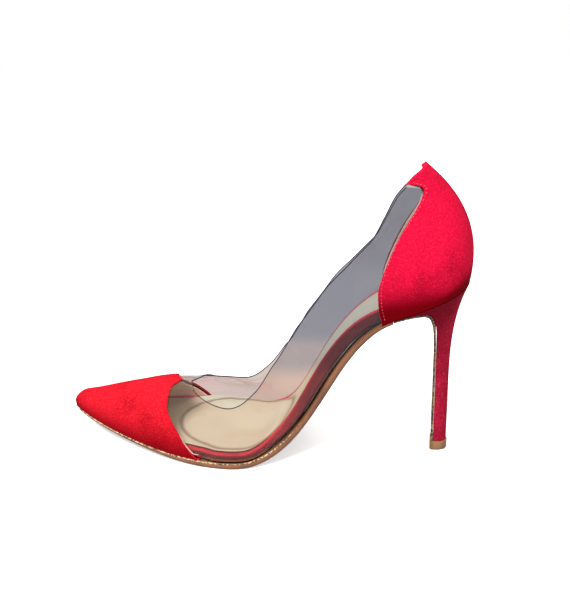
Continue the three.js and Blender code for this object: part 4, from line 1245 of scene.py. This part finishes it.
def heel_section(level, inset):
    seat = [(lerp(HEEL_FRONT, BACK, i / HEEL_AROUND), -1) for i in range(HEEL_AROUND + 1)]
    seat += [(u, 1) for u, _ in seat[:-1][::-1]]
    section = []
    for i, (u, side) in enumerate(seat):
        spot = outline_at(u, side, inset)
        angle = math.pi * i / (len(seat) - 1)
        stem_x = lerp(STEM_FRONT_X, STEM_BACK_X - inset, max(0.0, math.sin(angle)) ** 0.75)
        round_side = 1 + 0.18 * math.sin(angle) * abs(math.cos(angle))
        stem_y = -math.cos(angle) * (STEM_WIDTH / 2 - inset) * round_side
        top = seat_z(spot.x)
        z = lerp(top, TOP_PIECE_HEIGHT + GAP, level)
        flare = clamp(1 - (top - z) / HEEL_FLARE_HEIGHT, 0, 1) ** HEEL_FLARE_POWER
        section.append(Vector((lerp(stem_x, spot.x, flare), lerp(stem_y, spot.y, flare), z)))
    return section


def heel_block(inset, grow=0.0):
    sections = [heel_section((k / HEEL_STEPS) ** 1.5, inset) for k in range(HEEL_STEPS + 1)]
    if grow:
        up, down = Vector((0, 0, grow)), Vector((0, 0, -grow))
        sections = [[p + up for p in sections[0]]] + sections + [[p + down for p in sections[-1]]]
    return loft(sections)


print("heel stem", STEM_DEPTH, "by", STEM_WIDTH, "mm")

# %% [markdown]
# The cutter is a flat profile of the breast, drawn from below the floor up the front of the stem, round
# the corner and forward under the sole, and pushed right across the shoe.

# %% Breast profile, pushed right across the shoe
BREAST_TOP, BREAST_CORNER, BREAST_LEAN, STEM_STRAIGHT = 14.0, 5.0, 2.0, 50.0
LIP_FRONT, LIP_BACK, BREAST_FLAP = 0.8, 3.4, 1.2
CUT_FLOOR, CUT_HALF_WIDTH, CUT_SEGMENTS = -20.0, 50.0, 14


def breast_cut(depth):
    def underside(x):
        t = (x - SEAT_FRONT_X) / BREAST_TOP
        return seat_z(x) - lerp(LIP_FRONT, LIP_BACK, math.copysign(t * t, t)) + depth

    front_x = STEM_FRONT_X + depth
    turn_x = SEAT_FRONT_X + BREAST_TOP + depth
    turn_z = underside(turn_x)
    lean_point = at(front_x - BREAST_LEAN, turn_z - BREAST_CORNER)
    profile = [at(front_x, CUT_FLOOR)]
    stem_curve = [at(front_x, STEM_STRAIGHT), at(front_x, turn_z - 2 * BREAST_CORNER), lean_point]
    corner_curve = [lean_point, at(front_x - 1.4 * BREAST_LEAN, turn_z + 0.3), at(turn_x, turn_z)]
    profile += [bezier(stem_curve, i / CUT_SEGMENTS) for i in range(CUT_SEGMENTS + 1)]
    profile += [bezier(corner_curve, i / CUT_SEGMENTS) for i in range(1, CUT_SEGMENTS + 1)]
    for i in range(1, 2 * CUT_SEGMENTS + 1):
        x = lerp(turn_x, SEAT_FRONT_X - 0.5 * BREAST_TOP, i / (2 * CUT_SEGMENTS))
        profile.append(at(x, underside(x)))
    profile.append(at(SEAT_FRONT_X - BREAST_TOP, CUT_FLOOR))
    return loft([[Vector((p.x, y, p.y)) for p in profile] for y in (-CUT_HALF_WIDTH, CUT_HALF_WIDTH)])


def carved(name, part, *cuts):
    body = bpy.data.objects.new(name, make_mesh(name, part))
    bpy.context.scene.collection.objects.link(body)
    tools = []
    for operation, cutter in cuts:
        tool = bpy.data.objects.new("cutter", make_mesh("cutter", cutter))
        bpy.context.scene.collection.objects.link(tool)
        tools.append(tool)
        modifier = body.modifiers.new("cut", "BOOLEAN")
        modifier.operation = operation
        modifier.solver = "EXACT"
        modifier.object = tool
    bpy.context.view_layer.update()
    result = bpy.data.meshes.new_from_object(body.evaluated_get(bpy.context.evaluated_depsgraph_get()))
    for leftover in [body] + tools:
        bpy.data.objects.remove(leftover)
    result.name = name
    return result


print("the breast turns down", BREAST_TOP, "mm behind the front of the seat")

# %% [markdown]
# The suede skin is the heel block less a slightly smaller block and less the breast. The leather breast
# is what lies between two such cuts, one flap's thickness apart.

# %% Suede skin of the heel and its leather breast
CORE_OVERRUN, HEEL_SHARP_ANGLE = 2, 35
make_piece(
    "heel_suede",
    carved("heel_suede", heel_block(0), ("DIFFERENCE", heel_block(SUEDE, CORE_OVERRUN)),
           ("DIFFERENCE", breast_cut(BREAST_FLAP + GAP))),
    [heel_suede], ["heel_cover"], sharp_angle=HEEL_SHARP_ANGLE)
make_piece(
    "breast_leather",
    carved("breast_leather", heel_block(0), ("DIFFERENCE", breast_cut(0)),
           ("INTERSECT", breast_cut(BREAST_FLAP))),
    [breast_leather], ["breast_flap"], sharp_angle=HEEL_SHARP_ANGLE)

# %% [markdown]
# The top piece is the little block that meets the floor. It is moulded, so its lower edge has a small
# radius, built from a few inset copies of its outline.

# %% Top piece
TIP_HALF_WIDTH, TIP_CORNER, TIP_ROUND = 5.2, 1.2, 0.7
TIP_ROUND_STEPS, TIP_BEVEL, TIP_BEVEL_STEPS = 5, 0.25, 2


def tip_outline(inset):
    front, back, half = TIP_FRONT + inset, TIP_BACK - inset, TIP_HALF_WIDTH - inset
    curves = [
        [at(front, -half + TIP_CORNER), at(front, -half), at(front + TIP_CORNER, -half)],
        [at(front + TIP_CORNER, -half), at(back - 1, -half), at(back, -half + 3), at(back, 0)],
        [at(back, 0), at(back, half - 3), at(back - 1, half), at(front + TIP_CORNER, half)],
        [at(front + TIP_CORNER, half), at(front, half), at(front, half - TIP_CORNER)],
    ]
    return [bezier(curve, i / 10) for curve in curves for i in range(10)] + [curves[-1][-1]]


tip_sections = []
for i in range(TIP_ROUND_STEPS + 1):
    turn = 0.5 * math.pi * i / TIP_ROUND_STEPS
    inset, z = TIP_ROUND * (1 - math.sin(turn)), TIP_ROUND * (1 - math.cos(turn))
    tip_sections.append([Vector((p.x, p.y, z)) for p in tip_outline(inset)])
for i in range(TIP_BEVEL_STEPS + 1):
    inset = TIP_BEVEL * i / TIP_BEVEL_STEPS
    z = TOP_PIECE_HEIGHT - TIP_BEVEL + inset
    tip_sections.append([Vector((p.x, p.y, z)) for p in tip_outline(inset)])
make_piece("top_piece_moulded", loft(tip_sections), [tip_plastic], ["top_piece"])

# %% [markdown]
# ## Stitches and trims
# The counter's front edge is folded and stitched. A stitch is a short length of thread that dives into
# the suede at both ends, so each one is a tiny spindle laid along the edge. The thread sits slightly
# proud, and every stitch turns a little, as sewn ones do.

# %% Stitches along the counter's front edge
STITCH_PITCH, STITCH_LENGTH, STITCH_RADIUS = 1.9, 1.25, 0.16
STITCH_SETBACK, STITCH_TILT = 1.7, 0.06
SEAM_STEPS, SEAM_START, SEAM_RISE = 180, 0.02, 0.94
stitch_draw = random.Random(7)


def spindle(start, end, proud, radius, sides=6, steps=6):
    along = (end - start).normalized()
    across = along.cross(proud).normalized()
    sections = []
    for i in range(steps + 1):
        t = i / steps
        girth = radius * math.sqrt(max(0.0, 1 - (2 * t - 1) ** 4)) + 0.02
        centre = start.lerp(end, t) + proud * (radius * 0.9 * (math.sin(math.pi * t) - 0.6))
        sections.append([
            centre + (across * math.cos(a) + proud * math.sin(a)) * girth
            for a in (2 * math.pi * k / sides for k in range(sides))
        ])
    return loft(sections)


def seam_stitches(path, normals):
    stitches, walked, wanted = [], 0.0, STITCH_PITCH
    for a, b, proud in zip(path, path[1:], normals):
        piece = (b - a).length
        while walked + piece >= wanted:
            start = a.lerp(b, (wanted - walked) / piece)
            tilt = Vector((0, 0, stitch_draw.uniform(-STITCH_TILT, STITCH_TILT)))
            end = start + ((b - a).normalized() + tilt) * STITCH_LENGTH
            stitches.append(spindle(start, end, proud, STITCH_RADIUS))
            wanted += STITCH_PITCH
        walked += piece
    return stitches


def counter_seam(side):
    path, normals = [], []
    for i in range(SEAM_STEPS + 1):
        h = SEAM_START + SEAM_RISE * i / SEAM_STEPS
        u = counter_edge(h) + STITCH_SETBACK / outline_lengths[2]
        outside = skin(u, side, h, 0)
        path.append(outside)
        normals.append((outside - skin(u, side, h, 1)).normalized())
    return seam_stitches(path, normals)


make_piece("counter_stitches", joined(*counter_seam(-1), *counter_seam(1)), [stitch_thread])

# %% [markdown]
# The suede is folded over the top line and meets the lining inside, so the rim of the counter is round.
# The fold is a slim tube along the rim, from one tab over the back to the other.

# %% Folded top line of the counter
FOLD_RADIUS, FOLD_DEPTH, FOLD_DROP, FOLD_STEPS, FOLD_SIDES = 1.35, 1.4, 0.9, 60, 12
FOLD_RELAX, FOLD_TAPER = 16, 10


def fold_centre(u, side):
    return skin(u, side, 1, FOLD_DEPTH) - Vector((0, 0, FOLD_DROP))


fold_start = counter_edge(1) + 0.03
fold_path = [fold_centre(lerp(fold_start, BACK, i / FOLD_STEPS), -1) for i in range(FOLD_STEPS)]
fold_path += [fold_centre(lerp(BACK, fold_start, i / FOLD_STEPS), 1) for i in range(FOLD_STEPS + 1)]
for _ in range(FOLD_RELAX):
    middle = [(a + 2 * b + c) / 4 for a, b, c in zip(fold_path, fold_path[1:], fold_path[2:])]
    fold_path = [fold_path[0]] + middle + [fold_path[-1]]


def tube(path, girth, sides):
    sections = []
    for i, centre in enumerate(path):
        along = (path[min(i + 1, len(path) - 1)] - path[max(i - 1, 0)]).normalized()
        across = along.cross(Vector((0, 0, 1))).normalized()
        proud = across.cross(along)
        sections.append([centre + (across * math.cos(a) + proud * math.sin(a)) * girth(i)
                         for a in (2 * math.pi * k / sides for k in range(sides))])
    return loft(sections)


def fold_girth(i):
    return FOLD_RADIUS * min(1.0, math.sqrt((min(i, len(fold_path) - 1 - i) + 0.2) / FOLD_TAPER))


make_piece("counter_top_fold", tube(fold_path, fold_girth, FOLD_SIDES), [counter_suede])

# %% [markdown]
# Seen along its edge the vinyl is a dark thread, because light stays trapped in the sheet. The edge is
# rounded and slightly swollen where the knife has pressed it, so a slim tube follows the top edge on both
# sides, from the bridge to the counter.

# %% Dark line along the vinyl's cut edge
CUT_LINE_RADIUS, CUT_LINE_STEPS, CUT_LINE_SIDES, CUT_LINE_SETBACK = 0.32, 120, 6, 0.03


def cut_line(side):
    start, end = THROAT + CUT_LINE_SETBACK, counter_edge(1)
    path = [skin(lerp(start, end, i / CUT_LINE_STEPS), side, 1, MIDDLE_LAYER + CLEAR_SHEET / 2)
            for i in range(CUT_LINE_STEPS + 1)]
    return tube(path, lambda i: CUT_LINE_RADIUS, CUT_LINE_SIDES)


make_piece("vinyl_edge_line", joined(cut_line(-1), cut_line(1)), [vinyl_edge])

# %% [markdown]
# Where the upper meets the sole, a fine rope of glue and edge finish glitters between the two leathers.
# It runs from the toe round to the waist and is modelled as a slim tube that follows the feather line.

# %% Glittering line along the feather
TRIM_END, TRIM_RADIUS, TRIM_SIDES, TRIM_STEPS = 1.75, 0.42, 8, 150
TRIM_TAPER, TRIM_POINT = 8, 0.1


def trim_section(u, side, girth):
    spot = outline_at(u, side, -0.1)
    ground, normal = bottom_at(spot.x)
    outside = outline_at(u, side, -1.1)
    across = Vector((outside.x - spot.x, outside.y - spot.y, 0)).normalized()
    centre = Vector((spot.x, spot.y, ground)) + normal * 0.25
    return [centre + (across * math.cos(a) + normal * side * math.sin(a)) * girth
            for a in (2 * math.pi * k / TRIM_SIDES for k in range(TRIM_SIDES))]


def trim_walk():
    sections = []
    steps = [(i, 1) for i in range(TRIM_STEPS, 0, -1)] + [(i, -1) for i in range(TRIM_STEPS + 1)]
    for i, side in steps:
        t = i / TRIM_STEPS
        girth = TRIM_RADIUS * min(1, (1 - t) * TRIM_TAPER + TRIM_POINT)
        sections.append(trim_section(TRIM_END * t, side, girth))
    return sections


make_piece("sole_edge_line", loft(trim_walk()), [edge_glitter])

# %% [markdown]
# ## Finishes for the pieces that stay as they are
# The fasteners, the board and the other inner parts keep their CAD shape. They hardly show, but each gets
# its own procedural finish all the same, so the model is whole when it is taken apart.

# %% Materials for the inner parts
inner_finishes = {
    "toe_puff": moulded_plastic, "heel_stiffener": moulded_plastic, "heel_core": moulded_plastic,
    "insole_board": board_fibre, "sole_filler": cork_grain, "steel_shank": fastener_steel,
    "heel_screw": fastener_steel, "shank_rivet_front": fastener_steel, "shank_rivet_rear": fastener_steel,
    "heel_tube": fastener_steel, "top_piece_pin": fastener_steel,
}
inner_finishes.update({f"heel_nail_{n}": fastener_steel for n in range(1, 5)})
for node_name, finish in inner_finishes.items():
    node_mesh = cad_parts[node_name].data
    node_mesh.materials.clear()
    node_mesh.materials.append(finish)
print(len(inner_finishes), "inner parts finished")

# %% [markdown]
# ## Studio
# A pale floor and a pale world keep the shoe as the only strong colour. One large soft light hangs at the
# upper left, in front of the shoe, a weaker one fills from the right, and a third lights the back. None of
# them is seen in a reflection, since a lamp mirrored in the flat vinyl would be a white patch.

# %% Colours shown without a film curve
bpy.context.scene.view_settings.view_transform = "Standard"
print("view transform:", bpy.context.scene.view_settings.view_transform)

# %% [markdown]
# What the camera sees and what lights the shoe needn't be the same. A Light Path node tells the camera's
# own rays from all others, so the backdrop is white while the light it throws on the shoe is milder.

# %% Floor and world
FLOOR_HALF, FLOOR_GLOW, FLOOR_DROP = 3.0, 0.5, 0.0002
FLOOR_SEEN, FLOOR_FELT = (0.95, 0.95, 0.95, 1), (0.42, 0.41, 0.42, 1)


def seen_or_felt(tree, seen, felt):
    light_path = tree.nodes.new("ShaderNodeLightPath")
    mix = tree.nodes.new("ShaderNodeMixShader")
    tree.links.new(light_path.outputs["Is Camera Ray"], mix.inputs[0])
    tree.links.new(felt, mix.inputs[1])
    tree.links.new(seen, mix.inputs[2])
    return mix.outputs[0]


floor_mesh = bpy.data.meshes.new("floor")
floor_corners = [(-FLOOR_HALF, -FLOOR_HALF), (FLOOR_HALF, -FLOOR_HALF), (FLOOR_HALF, FLOOR_HALF),
                 (-FLOOR_HALF, FLOOR_HALF)]
floor_mesh.from_pydata([(x, y, -FLOOR_DROP) for x, y in floor_corners], [], [(0, 1, 2, 3)])
floor = bpy.data.objects.new("floor", floor_mesh)
bpy.context.scene.collection.objects.link(floor)
floor_paint = bpy.data.materials.new("floor paint")
floor_paint.use_nodes = True
floor_tree = floor_paint.node_tree
floor_tree.nodes.remove(floor_tree.nodes["Principled BSDF"])
floor_shaders = []
for floor_colour in (FLOOR_SEEN, FLOOR_FELT):
    floor_shader = floor_tree.nodes.new("ShaderNodeBsdfDiffuse")
    floor_shader.inputs["Color"].default_value = floor_colour
    floor_shaders.append(floor_shader.outputs[0])
glow = floor_tree.nodes.new("ShaderNodeEmission")
glow.inputs["Strength"].default_value = FLOOR_GLOW
brightened = floor_tree.nodes.new("ShaderNodeAddShader")
floor_tree.links.new(floor_shaders[0], brightened.inputs[0])
floor_tree.links.new(glow.outputs[0], brightened.inputs[1])
floor_surface = seen_or_felt(floor_tree, brightened.outputs[0], floor_shaders[1])
floor_tree.links.new(floor_surface, floor_tree.nodes["Material Output"].inputs["Surface"])
floor_mesh.materials.append(floor_paint)

WORLD_SEEN, WORLD_FELT = 1.0, 0.55
world = bpy.data.worlds.new("studio")
world.use_nodes = True
world_tree = world.node_tree
world_tree.nodes.remove(world_tree.nodes["Background"])
world_shaders = []
for strength in (WORLD_SEEN, WORLD_FELT):
    background = world_tree.nodes.new("ShaderNodeBackground")
    background.inputs["Color"].default_value = (1, 1, 1, 1)
    background.inputs["Strength"].default_value = strength
    world_shaders.append(background.outputs[0])
world_surface = seen_or_felt(world_tree, *world_shaders)
world_tree.links.new(world_surface, world_tree.nodes["World Output"].inputs["Surface"])
bpy.context.scene.world = world
print("floor", 2 * FLOOR_HALF, "m wide, world", WORLD_FELT)

# %% [markdown]
# Each lamp is a square area light turned towards the middle of the shoe. The wider it is, the softer its
# shadow. It is hidden from mirror rays and from rays that pass through glass.

# %% Lights
LIGHT_TARGET = Vector((0.0, 0.0, 0.06))


def soft_light(name, place, size, power):
    data = bpy.data.lights.new(name, "AREA")
    data.size = size
    data.energy = power
    light = bpy.data.objects.new(name, data)
    light.location = place
    light.rotation_euler = (LIGHT_TARGET - Vector(place)).to_track_quat("-Z", "Y").to_euler()
    light.visible_glossy = False
    light.visible_transmission = False
    bpy.context.scene.collection.objects.link(light)
    print(name, power, "W at", place)


soft_light("key light", (-0.35, -0.6, 1.2), 0.5, 24)
soft_light("fill light", (0.9, -0.6, 0.5), 0.8, 2.5)
soft_light("back light", (0.1, 0.9, 0.8), 0.7, 4)
